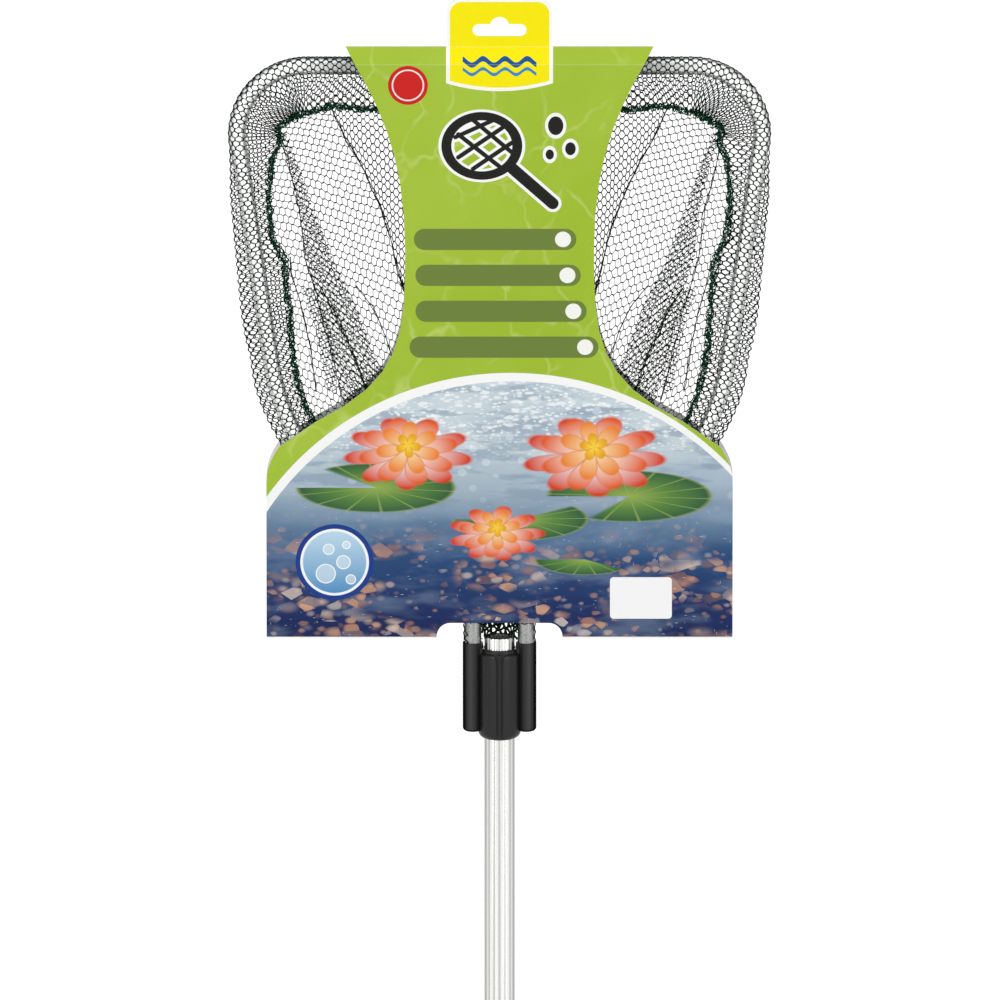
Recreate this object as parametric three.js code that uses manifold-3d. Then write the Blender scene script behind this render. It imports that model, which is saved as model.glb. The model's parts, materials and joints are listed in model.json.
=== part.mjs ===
// A telescopic pond net, as it is sold: a bent hoop with its netting bag folded flat behind it,
// a moulded yoke that joins the hoop to a telescopic handle, and a folded display card over the net.
//
// Millimetres. X runs across the hoop, Y from the front of the card to its back, Z up.
// The origin is the top of the card's hanging slot, where a hook carries the whole net.

import * as THREE from "three";
import { mergeVertices } from "three/addons/utils/BufferGeometryUtils.js";
import Module from "manifold-3d";

const wasm = await Module();
wasm.setup();

// Left between two pieces that touch, slide or turn on each other
const clearance = 0.3;

// Hoop: a bent tube. Its corners are named from the top down, and each has its own bend radius.
const hoopTubeRadius = 5.4;
const hoopTubeWall = 1;
const hoopTopZ = -33.7;
const shoulderHalfWidth = 184.7;
const shoulderBend = 47;
const kneeHalfWidth = 146.5;
const kneeDrop = 263.3;
const kneeBend = 155;
const ankleHeight = 27;
const ankleBend = 30;
const bendStep = 12;

// Yoke: a barrel for the handle between two columns for the hoop's ends
const yokeTopZ = -435.6;
const columnHeight = 62;
const columnWall = 1.3;
const columnFloor = 8;
const columnEdge = 2.6;
const barrelWall = 3.9;
const barrelDrop = 4.7;
const barrelEdge = 5;
const collarDrop = 3.7;
const collarHeight = 2.4;
const collarWall = 1.9;
const columnOverlap = 3.5;
const channelWidth = 5.2;
const channelDepth = 1.2;
const channelFlare = 3;
const keyWidth = 3.2;
const gussetDrop = 2.8;
const gussetDepth = 10.4;

// Handle: a fluted outer tube and a plain inner tube
const outerTubeRadius = 10.35;
const outerTubeWall = 1.15;
const outerTubeLength = 530;
const tubeStandsProud = 7.9;
const fluteCount = 16;
const fluteDepth = 0.45;
const fluteWidth = 2;
const innerTubeRadius = 8.5;
const innerTubeWall = 0.9;
const plugBelowScrew = 16;
const plugFlange = 45;
const plugSpigot = 20;
const plugPinRadius = 1.2;

// Twist lock: a split collet on the outer tube, squeezed by a ribbed nut
const bushingLength = 45;
const bushingWall = 2;
const bushingGrasp = 30;
const colletLength = 18;
const colletWall = 1.9;
const colletSlits = 4;
const colletSlitWidth = 1.6;
const rivetRadius = 1.3;
const rivetHeadRadius = 2.6;
const rivetHeadHeight = 1.1;
const rivetDrop = 8;
const nutCover = 26;
const nutWall = 2.3;
const nutLip = 4;
const nutRibs = 14;
const nutRibDepth = 0.9;
const nutEdge = 1.6;

// Grip and end cap
const gripLength = 140;
const gripWall = 4.6;
const gripRings = 7;
const gripRingDepth = 1;
const gripEdge = 2.5;
const capLength = 24;
const capOverGrip = 0.8;
const capSpigot = 30;
const capEdge = 3;
const capHoleRadius = 4.5;

// Screws
const screwRadius = 1.4;
const screwHeadRadius = 3;
const screwHeadHeight = 2;
const screwBossRadius = 4.4;
const screwBossHeight = 1.4;
const screwReach = 3;
const screwRecessWidth = 0.8;
const hoopScrewDrop = 30;
const handleScrewDrop = 32;

// Netting: the hem round the hoop, the seam that closes it, and the bag folded flat behind
const netThickness = 0.6;
const seamWidth = 3.6;
const seamThickness = 2.6;
const hemLip = 1.3;
const bagDepth = 11.4;
const bagTaper = 6;
const bagFootHeight = 58;
const meshPitch = 28;
const meshBar = 4;
const netStep = 45;

// Distance along the hoop from the middle of its top, and the seam's distance inside the hoop there
const hemWidths = [
  [0, 30],
  [84, 30.3],
  [115, 27.8],
  [130, 32.2],
  [156, 33.4],
  [182, 30.9],
  [195, 27],
  [213, 28.8],
  [225, 21],
  [240, 16.8],
  [256, 14.3],
  [279, 13],
  [286, 15.8],
  [300, 18.7],
  [327, 17.6],
  [357, 15.2],
  [409, 14.6],
  [520, 14],
  [577, 10],
  [601, 7.6],
];

// How far the slack net stands off the tube's outer side, at distances along the hoop
const hemSlacks = [
  [0, 0],
  [212, 0],
  [227, 1.7],
  [246, 4.5],
  [285, 6.7],
  [325, 9],
  [344, 9],
  [358, 7.4],
  [382, 7.9],
  [410, 6.2],
  [460, 5],
  [520, 3],
  [577, 1],
  [601, 0],
];
const hemEnd = 601;

// Display card: one folded sheet, its front panel creased at the foot
const cardThickness = 0.6;
const cardAboveYoke = 4.8;
const cardHalfWidth = 158.3;
const cardShoulderZ = -20.5;
const cardShoulderHalfWidth = 104.3;
const cardWaistZ = -160;
const cardWaistHalfWidth = 64;
const cardFlareZ = -280.4;
const cardFlareHalfWidth = 125.2;
const cardHipZ = -297.4;
const cardHipHalfWidth = 149.4;
const cardSideZ = -322;
const tabHalfWidth = 35.9;
const tabTopZ = 12.8;
const tabCorner = 10;
const cardRoofAngle = 30;
const notchHalfWidth = 42.7;
const notchRadius = 9.4;
const slotHalfWidth = 18.2;
const slotTopZ = -5;
const slotHeight = 8.3;
const slotBump = 6.5;

// Sizes that follow from the ones above
const columnBore = hoopTubeRadius + clearance;
const columnRadius = columnBore + columnWall;
const barrelBore = outerTubeRadius + clearance;
const barrelRadius = barrelBore + barrelWall;
const columnX = barrelRadius + columnRadius - columnOverlap;
const columnBottomZ = yokeTopZ - columnHeight;
const boreFloorZ = columnBottomZ + columnFloor;
const barrelBottomZ = columnBottomZ - barrelDrop;
const collarTopZ = yokeTopZ - collarDrop;
const barrelTopZ = collarTopZ - collarHeight;
const outerTubeBore = outerTubeRadius - outerTubeWall;
const outerTubeTopZ = collarTopZ + tubeStandsProud;
const outerTubeBottomZ = outerTubeTopZ - outerTubeLength;
const handleScrewZ = yokeTopZ - handleScrewDrop;
const hoopScrewZ = yokeTopZ - hoopScrewDrop;
const bushingTopZ = outerTubeBottomZ + bushingGrasp;
const bushingBottomZ = bushingTopZ - bushingLength;
const bushingBore = outerTubeRadius + clearance;
const bushingRadius = bushingBore + bushingWall;
const colletBore = innerTubeRadius + clearance;
const colletRadius = colletBore + colletWall;
const colletTipRadius = colletBore + colletWall / 2;
const colletBottomZ = bushingBottomZ - colletLength;
const nutBore = bushingRadius + clearance;
const nutRadius = nutBore + nutWall;
const nutTopZ = bushingBottomZ + nutCover;
const nutBottomZ = colletBottomZ - clearance - nutLip;
const gripTopZ = nutBottomZ - clearance;
const gripBottomZ = gripTopZ - gripLength;
const gripBore = innerTubeRadius + clearance;
const gripRadius = gripBore + gripWall;
const capTopZ = gripBottomZ - clearance;
const capBottomZ = capTopZ - capLength;
const capRadius = gripRadius + capOverGrip;
const innerTubeBottomZ = capTopZ + clearance;
const innerTubeTopZ = handleScrewZ - plugBelowScrew - plugFlange - clearance;
const plugPinZ = innerTubeTopZ - plugSpigot / 2;
const rivetZ = bushingTopZ - rivetDrop;
const hemRadius = hoopTubeRadius + clearance + netThickness;
const cardFrontY = -(hemRadius + clearance);
const bagBackY = bagDepth + netThickness;
const cardBackY = bagBackY + clearance;
const cardBottomZ = yokeTopZ + cardAboveYoke;

// A closed three.js geometry as a solid, its faces turned outwards
function solidOf(geometry) {
  const bare = geometry.index ? geometry.toNonIndexed() : geometry.clone();
  bare.deleteAttribute("normal");
  bare.deleteAttribute("uv");
  const merged = mergeVertices(bare, 1e-4);
  const triVerts = new Uint32Array(merged.index.array);
  const mesh = { numProp: 3, vertProperties: merged.attributes.position.array, triVerts };
  const made = new wasm.Manifold(new wasm.Mesh(mesh));
  if (made.volume() > 0) return made;
  for (let i = 0; i < triVerts.length; i += 3) {
    [triVerts[i + 1], triVerts[i + 2]] = [triVerts[i + 2], triVerts[i + 1]];
  }
  return new wasm.Manifold(new wasm.Mesh(mesh));
}

// A solid as a three.js geometry
function geometryOf(solid) {
  const { vertProperties, triVerts } = solid.getMesh();
  const geometry = new THREE.BufferGeometry();
  geometry.setAttribute("position", new THREE.BufferAttribute(vertProperties, 3));
  geometry.setIndex(new THREE.BufferAttribute(triVerts, 1));
  return geometry;
}

function join(first, ...others) {
  return others.reduce((sum, next) => sum.add(next), first);
}

function cut(from, ...tools) {
  return tools.reduce((left, tool) => left.subtract(tool), from);
}

// A profile of [radius, z] points turned round the Z axis. It closes on the axis or on itself.
function turned(profile, segments) {
  const points = profile.map(([radius, z]) => new THREE.Vector2(radius, z));
  return solidOf(new THREE.LatheGeometry(points, segments).rotateX(Math.PI / 2));
}

// A tube or ring between two radii
function ring(inner, outer, bottom, top, segments) {
  const profile = [
    [inner, bottom],
    [outer, bottom],
    [outer, top],
    [inner, top],
    [inner, bottom],
  ];
  return turned(profile, segments);
}

function rod(radius, bottom, top, segments) {
  const profile = [
    [0, bottom],
    [radius, bottom],
    [radius, top],
    [0, top],
  ];
  return turned(profile, segments);
}

function block(width, depth, height, x, y, z) {
  return solidOf(new THREE.BoxGeometry(width, depth, height).translate(x, y, z));
}

// An outline drawn in X and Z, given thickness from fromY to toY
function slab(shape, fromY, toY, curveSegments = 8) {
  const options = { depth: toY - fromY, bevelEnabled: false, curveSegments };
  const geometry = new THREE.ExtrudeGeometry(shape, options);
  return solidOf(geometry.rotateX(Math.PI / 2).translate(0, toY, 0));
}

// An outline drawn in X and Y, given height from bottom to top
function column(shape, bottom, top, curveSegments = 8) {
  const options = { depth: top - bottom, bevelEnabled: false, curveSegments };
  return solidOf(new THREE.ExtrudeGeometry(shape, options).translate(0, 0, bottom));
}

// A quarter circle of [radius, z] points from one edge direction to the other
function roundedEdge(centreRadius, centreZ, edge, fromDegrees, toDegrees, steps = 4) {
  const points = [];
  for (let i = 0; i <= steps; i++) {
    const angle = THREE.MathUtils.degToRad(fromDegrees + ((toDegrees - fromDegrees) * i) / steps);
    points.push([centreRadius + edge * Math.cos(angle), centreZ + edge * Math.sin(angle)]);
  }
  return points;
}

// A run of corners with a bend at each, as points along its straights and arcs
function bentLine(corners, bends, degreesPerStep) {
  const count = corners.length;
  const points = [];
  corners.forEach((corner, i) => {
    if (i === 0 || i === count - 1) {
      points.push(corner.clone());
      return;
    }
    const before = corners[i - 1].clone().sub(corner).normalize();
    const after = corners[i + 1].clone().sub(corner).normalize();
    const turn = Math.PI - before.angleTo(after);
    const reach = bends[i] * Math.tan(turn / 2);
    const centre = before.clone().add(after).normalize();
    centre.multiplyScalar(Math.hypot(reach, bends[i])).add(corner);
    const start = before.multiplyScalar(reach).add(corner).sub(centre);
    const side = Math.sign(start.cross(after.multiplyScalar(reach).add(corner).sub(centre)));
    const steps = Math.max(2, Math.ceil(THREE.MathUtils.radToDeg(turn) / degreesPerStep));
    for (let k = 0; k <= steps; k++) {
      points.push(start.clone().rotateAround(new THREE.Vector2(), (side * turn * k) / steps).add(centre));
    }
  });
  return points;
}

// Sections of equal length joined into one closed skin. Each section is a loop of 3D points.
function loft(sections, loops, closed) {
  const positions = [];
  const quad = (a, b, c, d) => [a, b, c, a, c, d].forEach((p) => positions.push(p.x, p.y, p.z));
  const last = closed ? sections.length : sections.length - 1;
  for (let i = 0; i < last; i++) {
    const here = sections[i];
    const next = sections[(i + 1) % sections.length];
    loops.forEach(([from, to], loopIndex) => {
      const size = to - from;
      for (let k = 0; k < size; k++) {
        const a = from + k;
        const b = from + ((k + 1) % size);
        if (loopIndex === 0) quad(here[a], here[b], next[b], next[a]);
        else quad(here[b], here[a], next[a], next[b]);
      }
    });
  }
  if (!closed) {
    [sections[0], sections[sections.length - 1]].forEach((section, end) => {
      const [outer, inner] = loops;
      const size = outer[1] - outer[0];
      for (let k = 0; k < size; k++) {
        const next = (k + 1) % size;
        const corners = inner
          ? [section[next], section[k], section[inner[0] + k], section[inner[0] + next]]
          : null;
        if (corners) quad(...(end ? [...corners].reverse() : corners));
        else if (k > 0 && k < size - 1) {
          const triangle = [section[0], section[next], section[k]];
          (end ? triangle.reverse() : triangle).forEach((p) => positions.push(p.x, p.y, p.z));
        }
      }
    });
  }
  const geometry = new THREE.BufferGeometry();
  geometry.setAttribute("position", new THREE.Float32BufferAttribute(positions, 3));
  return solidOf(geometry);
}

// The hoop's centreline in X and Z, from its left end in the yoke round to its right end
function hoopLine() {
  const left = [
    new THREE.Vector2(-columnX, boreFloorZ + clearance),
    new THREE.Vector2(-columnX, yokeTopZ + ankleHeight),
    new THREE.Vector2(-kneeHalfWidth, hoopTopZ - kneeDrop),
    new THREE.Vector2(-shoulderHalfWidth, hoopTopZ),
  ];
  const right = left.map((p) => new THREE.Vector2(-p.x, p.y)).reverse();
  const bends = [0, ankleBend, kneeBend, shoulderBend];
  return bentLine([...left, ...right], [...bends, ...[...bends].reverse()], bendStep);
}

// Each point of the line with its inward normal and its distance from the middle of the top
function stationsOf(line) {
  const lengths = [0];
  for (let i = 1; i < line.length; i++) lengths.push(lengths[i - 1] + line[i].distanceTo(line[i - 1]));
  const middle = lengths[lengths.length - 1] / 2;
  return line.map((point, i) => {
    const before = point.clone().sub(line[Math.max(i - 1, 0)]).normalize();
    const after = line[Math.min(i + 1, line.length - 1)].clone().sub(point).normalize();
    const tangent = before.add(after).normalize();
    const inward = new THREE.Vector2(tangent.y, -tangent.x);
    return { point, inward, along: Math.abs(lengths[i] - middle) };
  });
}

// The same line with more points on its straights, so that the net's width can change there
function netLine() {
  const line = hoopLine();
  const points = [line[0]];
  for (let i = 1; i < line.length; i++) {
    const steps = Math.ceil(line[i].distanceTo(line[i - 1]) / netStep);
    for (let k = 1; k <= steps; k++) points.push(line[i - 1].clone().lerp(line[i], k / steps));
  }
  return points;
}

// A point beside a station: inwards in the hoop's plane, and back along Y
function beside(station, inwards, y) {
  const { point, inward } = station;
  return new THREE.Vector3(point.x + inward.x * inwards, y, point.y + inward.y * inwards);
}

// A value between the entries of a table of [distance along the hoop, value]
function valueAt(table, along) {
  const next = table.findIndex(([at]) => at >= along);
  if (next < 1) return table[next === 0 ? 0 : table.length - 1][1];
  const [fromAt, from] = table[next - 1];
  const [toAt, to] = table[next];
  return THREE.MathUtils.mapLinear(along, fromAt, toAt, from, to);
}

// How far inside the hoop's centreline the seam runs, never nearer than the narrowest hem
function hemWidthAt(along) {
  const narrowest = hemRadius + hemLip + clearance + seamWidth / 2;
  return Math.max(valueAt(hemWidths, along), narrowest);
}

// Points of a circle in a station's own section, in inward and Y directions
function circleSection(station, radius, sides, centreInwards = 0, flatten = 1) {
  return Array.from({ length: sides }, (_, i) => {
    const angle = (2 * Math.PI * (i + 0.5)) / sides;
    const inwards = centreInwards + radius * Math.cos(angle);
    return beside(station, inwards, radius * flatten * Math.sin(angle));
  });
}


// A round bar along Y, from the middle of the yoke towards its back
function barBehind(radius, length, x, z, sides) {
  const bar = new THREE.CylinderGeometry(radius, radius, length, sides);
  return solidOf(bar.translate(x, length / 2, z));
}

// A pan-head screw along Y with a cross recess. Its head's underside is at y = 0, its shank before it.
function makeScrew(shank) {
  const headEdge = screwHeadHeight / 2;
  const head = roundedEdge(screwHeadRadius - headEdge, screwHeadHeight - headEdge, headEdge, 0, 90, 3);
  const profile = [
    [0, -shank],
    [screwRadius / 2, -shank],
    [screwRadius, screwRadius - shank],
    [screwRadius, 0],
    [screwHeadRadius, 0],
    ...head,
    [0, screwHeadHeight],
  ];
  const points = profile.map(([radius, y]) => new THREE.Vector2(radius, y));
  const body = solidOf(new THREE.LatheGeometry(points, 12));
  const across = block(1.2 * screwHeadRadius, screwHeadHeight, screwRecessWidth, 0, screwHeadHeight, 0);
  const upright = block(screwRecessWidth, screwHeadHeight, 1.2 * screwHeadRadius, 0, screwHeadHeight, 0);
  return cut(body, across, upright);
}

function makeHoop() {
  const sides = 10;
  const stations = stationsOf(hoopLine());
  const sections = stations.map((s) => [
    ...circleSection(s, hoopTubeRadius, sides),
    ...circleSection(s, hoopTubeRadius - hoopTubeWall, sides),
  ]);
  const loops = [
    [0, sides],
    [sides, 2 * sides],
  ];
  const hole = (side) =>
    barBehind(screwRadius + clearance, 2 * hoopTubeRadius, side * columnX, hoopScrewZ, 10);
  return cut(loft(sections, loops, false), hole(-1), hole(1));
}

// The hem is a sleeve of net round the tube. It is drawn in to a flat lip at the seam, and its slack
// stands off the tube's outer side.
function makeHem() {
  const stations = stationsOf(netLine()).filter((s) => s.along < hemEnd);
  const roundSteps = 10;
  const leaves = Math.acos(hemRadius / (hemRadius + hemLip));
  const skin = (station, radius, tip, lip) => {
    const points = [beside(station, tip, -lip)];
    for (let i = 0; i <= roundSteps; i++) {
      const angle = -leaves - ((2 * Math.PI - 2 * leaves) * i) / roundSteps;
      const slack = valueAt(hemSlacks, station.along) * Math.min(Math.cos(angle), 0);
      points.push(beside(station, radius * Math.cos(angle) + slack, radius * Math.sin(angle)));
    }
    points.push(beside(station, tip, lip));
    return points;
  };
  const sections = stations.map((s) => {
    const tip = hemWidthAt(s.along) - seamWidth / 2 - clearance;
    return [
      ...skin(s, hemRadius, tip, hemLip),
      ...skin(s, hoopTubeRadius + clearance, tip - netThickness, hemLip - netThickness),
    ];
  });
  const size = roundSteps + 3;
  const loops = [
    [0, size],
    [size, 2 * size],
  ];
  return loft(sections, loops, false);
}

// The overlocked seam that closes the hem, a thick bead of thread
function makeSeam() {
  const stations = stationsOf(netLine()).filter((s) => s.along < hemEnd);
  const sides = 6;
  const sections = stations.map((s) => {
    return circleSection(s, seamWidth / 2, sides, hemWidthAt(s.along), seamThickness / seamWidth);
  });
  return loft(sections, [[0, sides]], false);
}

// Stations of the hoop that the bag hangs from, above its foot
function bagStations() {
  const foot = yokeTopZ + bagFootHeight;
  return stationsOf(netLine()).filter((s) => s.point.y > foot);
}

function bagEdge(station, inset, y) {
  return beside(station, hemWidthAt(station.along) + seamWidth / 2 + clearance + inset, y);
}

// The bag's wall goes back from the seam, and in a little, all round the folded bag
function makeBagWall() {
  const front = -seamThickness / 2;
  const back = bagDepth - clearance;
  const sections = bagStations().map((s) => [
    bagEdge(s, 0, front),
    bagEdge(s, bagTaper, back),
    bagEdge(s, bagTaper + netThickness, back),
    bagEdge(s, netThickness, front),
  ]);
  return loft(sections, [[0, 4]], true);
}

// The bag's back lies flat behind the hoop: a net of bars round six-sided gaps
function makeBagBack() {
  const edge = bagStations().map((s) => bagEdge(s, bagTaper, 0));
  const outline = new THREE.Shape(edge.map((p) => new THREE.Vector2(p.x, p.z)));
  const sheet = slab(outline, bagDepth, bagDepth + netThickness);
  const inner = bagStations().map((s) => bagEdge(s, bagTaper + meshBar, 0));
  const within = new THREE.Shape(inner.map((p) => new THREE.Vector2(p.x, p.z)));
  const halfWidth = (meshPitch - meshBar) / 2;
  const rowStep = meshPitch * 0.8;
  const gap = new THREE.Shape();
  gap.moveTo(-halfWidth, 0);
  gap.lineTo(0, -rowStep + meshBar);
  gap.lineTo(halfWidth, 0);
  gap.lineTo(0, rowStep - meshBar);
  const columns = Math.ceil(shoulderHalfWidth / meshPitch);
  const gaps = [];
  for (let z = hoopTopZ; z > yokeTopZ; z -= rowStep) {
    const shift = (gaps.length && Math.round((hoopTopZ - z) / rowStep) % 2) * (meshPitch / 2);
    for (let i = -columns; i <= columns; i++) {
      const x = i * meshPitch + shift;
      const moved = gap.getPoints().map((p) => new THREE.Vector2(p.x + x, p.y + z));
      if (moved.every((p) => isInside(p, within.getPoints()))) gaps.push(new THREE.Shape(moved));
    }
  }
  return cut(sheet, ...gaps.map((g) => slab(g, bagDepth - 1, bagDepth + netThickness + 1)));
}

// Whether a point lies inside an outline: a ray from it crosses the outline an odd number of times
function isInside(point, outline) {
  let inside = false;
  outline.forEach((a, i) => {
    const b = outline[(i + 1) % outline.length];
    const crosses = a.y > point.y !== b.y > point.y;
    if (crosses && point.x < ((b.x - a.x) * (point.y - a.y)) / (b.y - a.y) + a.x) inside = !inside;
  });
  return inside;
}

// The groove down the front of the barrel, which opens out at both ends round a raised key
function channelTool() {
  const half = channelWidth / 2;
  const top = barrelTopZ + 1;
  const bottom = barrelBottomZ - 1;
  const shape = new THREE.Shape();
  shape.moveTo(-half - channelFlare, bottom);
  shape.quadraticCurveTo(-half, bottom + channelFlare, -half, bottom + 3 * channelFlare);
  shape.lineTo(-half, top - 3 * channelFlare);
  shape.quadraticCurveTo(-half, top - channelFlare, -half - channelFlare, top);
  shape.lineTo(half + channelFlare, top);
  shape.quadraticCurveTo(half, top - channelFlare, half, top - 3 * channelFlare);
  shape.lineTo(half, bottom + 3 * channelFlare);
  shape.quadraticCurveTo(half, bottom + channelFlare, half + channelFlare, bottom);
  const groove = slab(shape, -barrelRadius - 1, -barrelRadius + channelDepth, 4);
  const keyHeight = top - bottom;
  return cut(groove, block(keyWidth, 2 * barrelRadius, keyHeight, 0, 0, (top + bottom) / 2));
}

// The yoke: one moulding, with a bored barrel, a collar at its top and a blind column each side,
// which a small gusset ties to the collar
function makeYoke() {
  const barrel = turned(
    [
      [0, barrelBottomZ],
      ...roundedEdge(barrelRadius - barrelEdge, barrelBottomZ + barrelEdge, barrelEdge, -90, 0),
      [barrelRadius, barrelTopZ - collarHeight],
      [barrelRadius - collarHeight / 2, barrelTopZ],
      [0, barrelTopZ],
    ],
    32,
  );
  const collarEdge = collarWall / 2;
  const collarRadius = barrelBore + collarWall;
  const collar = turned(
    [
      [0, barrelTopZ - 1],
      [collarRadius, barrelTopZ - 1],
      ...roundedEdge(collarRadius - collarEdge, collarTopZ - collarEdge, collarEdge, 0, 90, 2),
      [0, collarTopZ],
    ],
    32,
  );
  const columnSolid = (side) => {
    const profile = [
      [0, columnBottomZ],
      ...roundedEdge(columnRadius - columnEdge, columnBottomZ + columnEdge, columnEdge, -90, 0, 3),
      [columnRadius, yokeTopZ],
      [0, yokeTopZ],
    ];
    return solidOf(geometryOf(turned(profile, 24)).translate(side * columnX, 0, 0));
  };
  const gussetSolid = (side) => {
    const innerX = barrelBore + collarWall / 2;
    const shape = new THREE.Shape();
    shape.moveTo(side * innerX, barrelTopZ - 1);
    shape.lineTo(side * columnX, barrelTopZ - 1);
    shape.lineTo(side * columnX, yokeTopZ - gussetDrop);
    shape.lineTo(side * innerX, collarTopZ);
    return slab(shape, -gussetDepth / 2, gussetDepth / 2, 1);
  };
  const boreSolid = (side) => {
    const bore = rod(columnBore, boreFloorZ, yokeTopZ + 1, 20);
    return solidOf(geometryOf(bore).translate(side * columnX, 0, 0));
  };
  const boss = (x, z, surface) => barBehind(screwBossRadius, surface + screwBossHeight, x, z, 16);
  const bossHole = (x, z, surface) =>
    barBehind(screwRadius + clearance, surface + screwBossHeight + 1, x, z, 10);
  const screws = [
    [-columnX, hoopScrewZ, columnRadius],
    [columnX, hoopScrewZ, columnRadius],
    [0, handleScrewZ, barrelRadius],
  ];
  const bosses = screws.map((place) => boss(...place));
  const columns = [columnSolid(-1), columnSolid(1), gussetSolid(-1), gussetSolid(1)];
  const body = join(barrel, collar, ...columns, ...bosses);
  const holes = screws.map((place) => bossHole(...place));
  const handleBore = rod(barrelBore, barrelBottomZ - 1, collarTopZ + 1, 32);
  return cut(body, handleBore, boreSolid(-1), boreSolid(1), channelTool(), ...holes);
}

// The outer tube's outline, a circle with a shallow flute every few degrees and one at the front
function flutedOutline() {
  const step = (2 * Math.PI) / fluteCount;
  const half = fluteWidth / 2 / outerTubeRadius;
  const floor = outerTubeRadius - fluteDepth;
  const points = [];
  for (let i = 0; i < fluteCount; i++) {
    const middle = i * step - Math.PI / 2;
    [
      [-half, outerTubeRadius],
      [-half / 2, floor],
      [half / 2, floor],
      [half, outerTubeRadius],
      [step / 2, outerTubeRadius],
    ].forEach(([turn, radius]) => {
      points.push(new THREE.Vector2(radius * Math.cos(middle + turn), radius * Math.sin(middle + turn)));
    });
  }
  return new THREE.Shape(points);
}

function makeOuterTube() {
  const body = column(flutedOutline(), outerTubeBottomZ, outerTubeTopZ);
  const bore = rod(outerTubeBore, outerTubeBottomZ - 1, outerTubeTopZ + 1, 32);
  const screwHole = barBehind(screwRadius + clearance, outerTubeRadius + 1, 0, handleScrewZ, 10);
  const rivetHole = barBehind(rivetRadius + clearance, outerTubeRadius + 1, 0, rivetZ, 10);
  return cut(body, bore, screwHole, rivetHole);
}

// A bushing pressed on the outer tube's lower end. Its collet grips the inner tube.
function makeCollet() {
  const shoulderZ = outerTubeBottomZ - clearance;
  const body = turned(
    [
      [bushingBore, bushingTopZ],
      [bushingBore, shoulderZ],
      [colletBore, shoulderZ],
      [colletBore, colletBottomZ],
      [colletTipRadius, colletBottomZ],
      [colletRadius, bushingBottomZ],
      [bushingRadius, bushingBottomZ],
      [bushingRadius, bushingTopZ],
      [bushingBore, bushingTopZ],
    ],
    28,
  );
  const slits = [];
  for (let i = 0; i < colletSlits / 2; i++) {
    const length = 4 * bushingRadius;
    const slit = new THREE.BoxGeometry(length, colletSlitWidth, colletLength);
    slit.rotateZ((2 * Math.PI * i) / colletSlits).translate(0, 0, colletBottomZ + colletLength / 2 - 1);
    slits.push(solidOf(slit));
  }
  const rivetHole = barBehind(rivetRadius + clearance, bushingRadius + 1, 0, rivetZ, 10);
  return cut(body, rivetHole, ...slits);
}

// The rivet that holds the bushing on the outer tube. Its tail is flush with the tube's bore.
function makeRivet() {
  const tail = bushingRadius + clearance - outerTubeBore;
  const profile = [
    [0, -tail],
    [rivetRadius, -tail],
    [rivetRadius, 0],
    ...roundedEdge(rivetHeadRadius - rivetHeadHeight, 0, rivetHeadHeight, 0, 90, 3),
    [0, rivetHeadHeight],
  ];
  const points = profile.map(([radius, y]) => new THREE.Vector2(radius, y));
  return solidOf(new THREE.LatheGeometry(points, 12));
}

// The lock nut turns on the bushing. Its cone squeezes the collet, and its ribs give it grip.
function makeLockNut() {
  const seatZ = bushingBottomZ - clearance;
  const lipTopZ = colletBottomZ - clearance;
  const bore = turned(
    [
      [0, nutBottomZ - 1],
      [colletBore + clearance, nutBottomZ - 1],
      [colletBore + clearance, lipTopZ],
      [colletTipRadius + clearance, lipTopZ],
      [colletRadius + clearance, seatZ],
      [nutBore, seatZ],
      [nutBore, nutTopZ + 1],
      [0, nutTopZ + 1],
    ],
    28,
  );
  const outside = turned(
    [
      [0, nutBottomZ],
      ...roundedEdge(nutRadius - nutEdge, nutBottomZ + nutEdge, nutEdge, -90, 0, 3),
      ...roundedEdge(nutRadius - nutEdge, nutTopZ - nutEdge, nutEdge, 0, 90, 3),
      [0, nutTopZ],
    ],
    4 * nutRibs,
  );
  const points = [];
  for (let i = 0; i < 4 * nutRibs; i++) {
    const angle = (2 * Math.PI * i) / (4 * nutRibs);
    const radius = i % 4 === 0 ? nutRadius - nutRibDepth : nutRadius + nutRibDepth;
    points.push(new THREE.Vector2(radius * Math.cos(angle), radius * Math.sin(angle)));
  }
  const ribbed = column(new THREE.Shape(points), nutBottomZ - 1, nutTopZ + 1);
  return cut(outside.intersect(ribbed), bore);
}

function makeInnerTube() {
  const bore = innerTubeRadius - innerTubeWall;
  const tube = ring(bore, innerTubeRadius, innerTubeBottomZ, innerTubeTopZ, 28);
  return cut(tube, crossBar(plugPinRadius + clearance, 3 * innerTubeRadius, plugPinZ));
}

// The pin that holds the plug in the inner tube, just short of flush with the tube
function makePlugPin() {
  return crossBar(plugPinRadius, 2 * (innerTubeRadius - clearance), plugPinZ);
}

// A round bar along Y across the handle's axis
function crossBar(radius, length, z) {
  return solidOf(new THREE.CylinderGeometry(radius, radius, length, 12).translate(0, 0, z));
}

// The plug in the inner tube's upper end slides in the outer tube and can't pass the collet
function makeGuidePlug() {
  const spigotRadius = innerTubeRadius - innerTubeWall - clearance;
  const flangeRadius = outerTubeBore - clearance;
  const flangeZ = innerTubeTopZ + clearance;
  const wall = spigotRadius / 3;
  const body = turned(
    [
      [spigotRadius - wall, innerTubeTopZ - plugSpigot],
      [spigotRadius, innerTubeTopZ - plugSpigot],
      [spigotRadius, flangeZ],
      [flangeRadius, flangeZ],
      [flangeRadius, flangeZ + plugFlange],
      [spigotRadius - wall, flangeZ + plugFlange],
      [spigotRadius - wall, innerTubeTopZ - plugSpigot],
    ],
    28,
  );
  return cut(body, crossBar(plugPinRadius + clearance, 3 * innerTubeRadius, plugPinZ));
}

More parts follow.
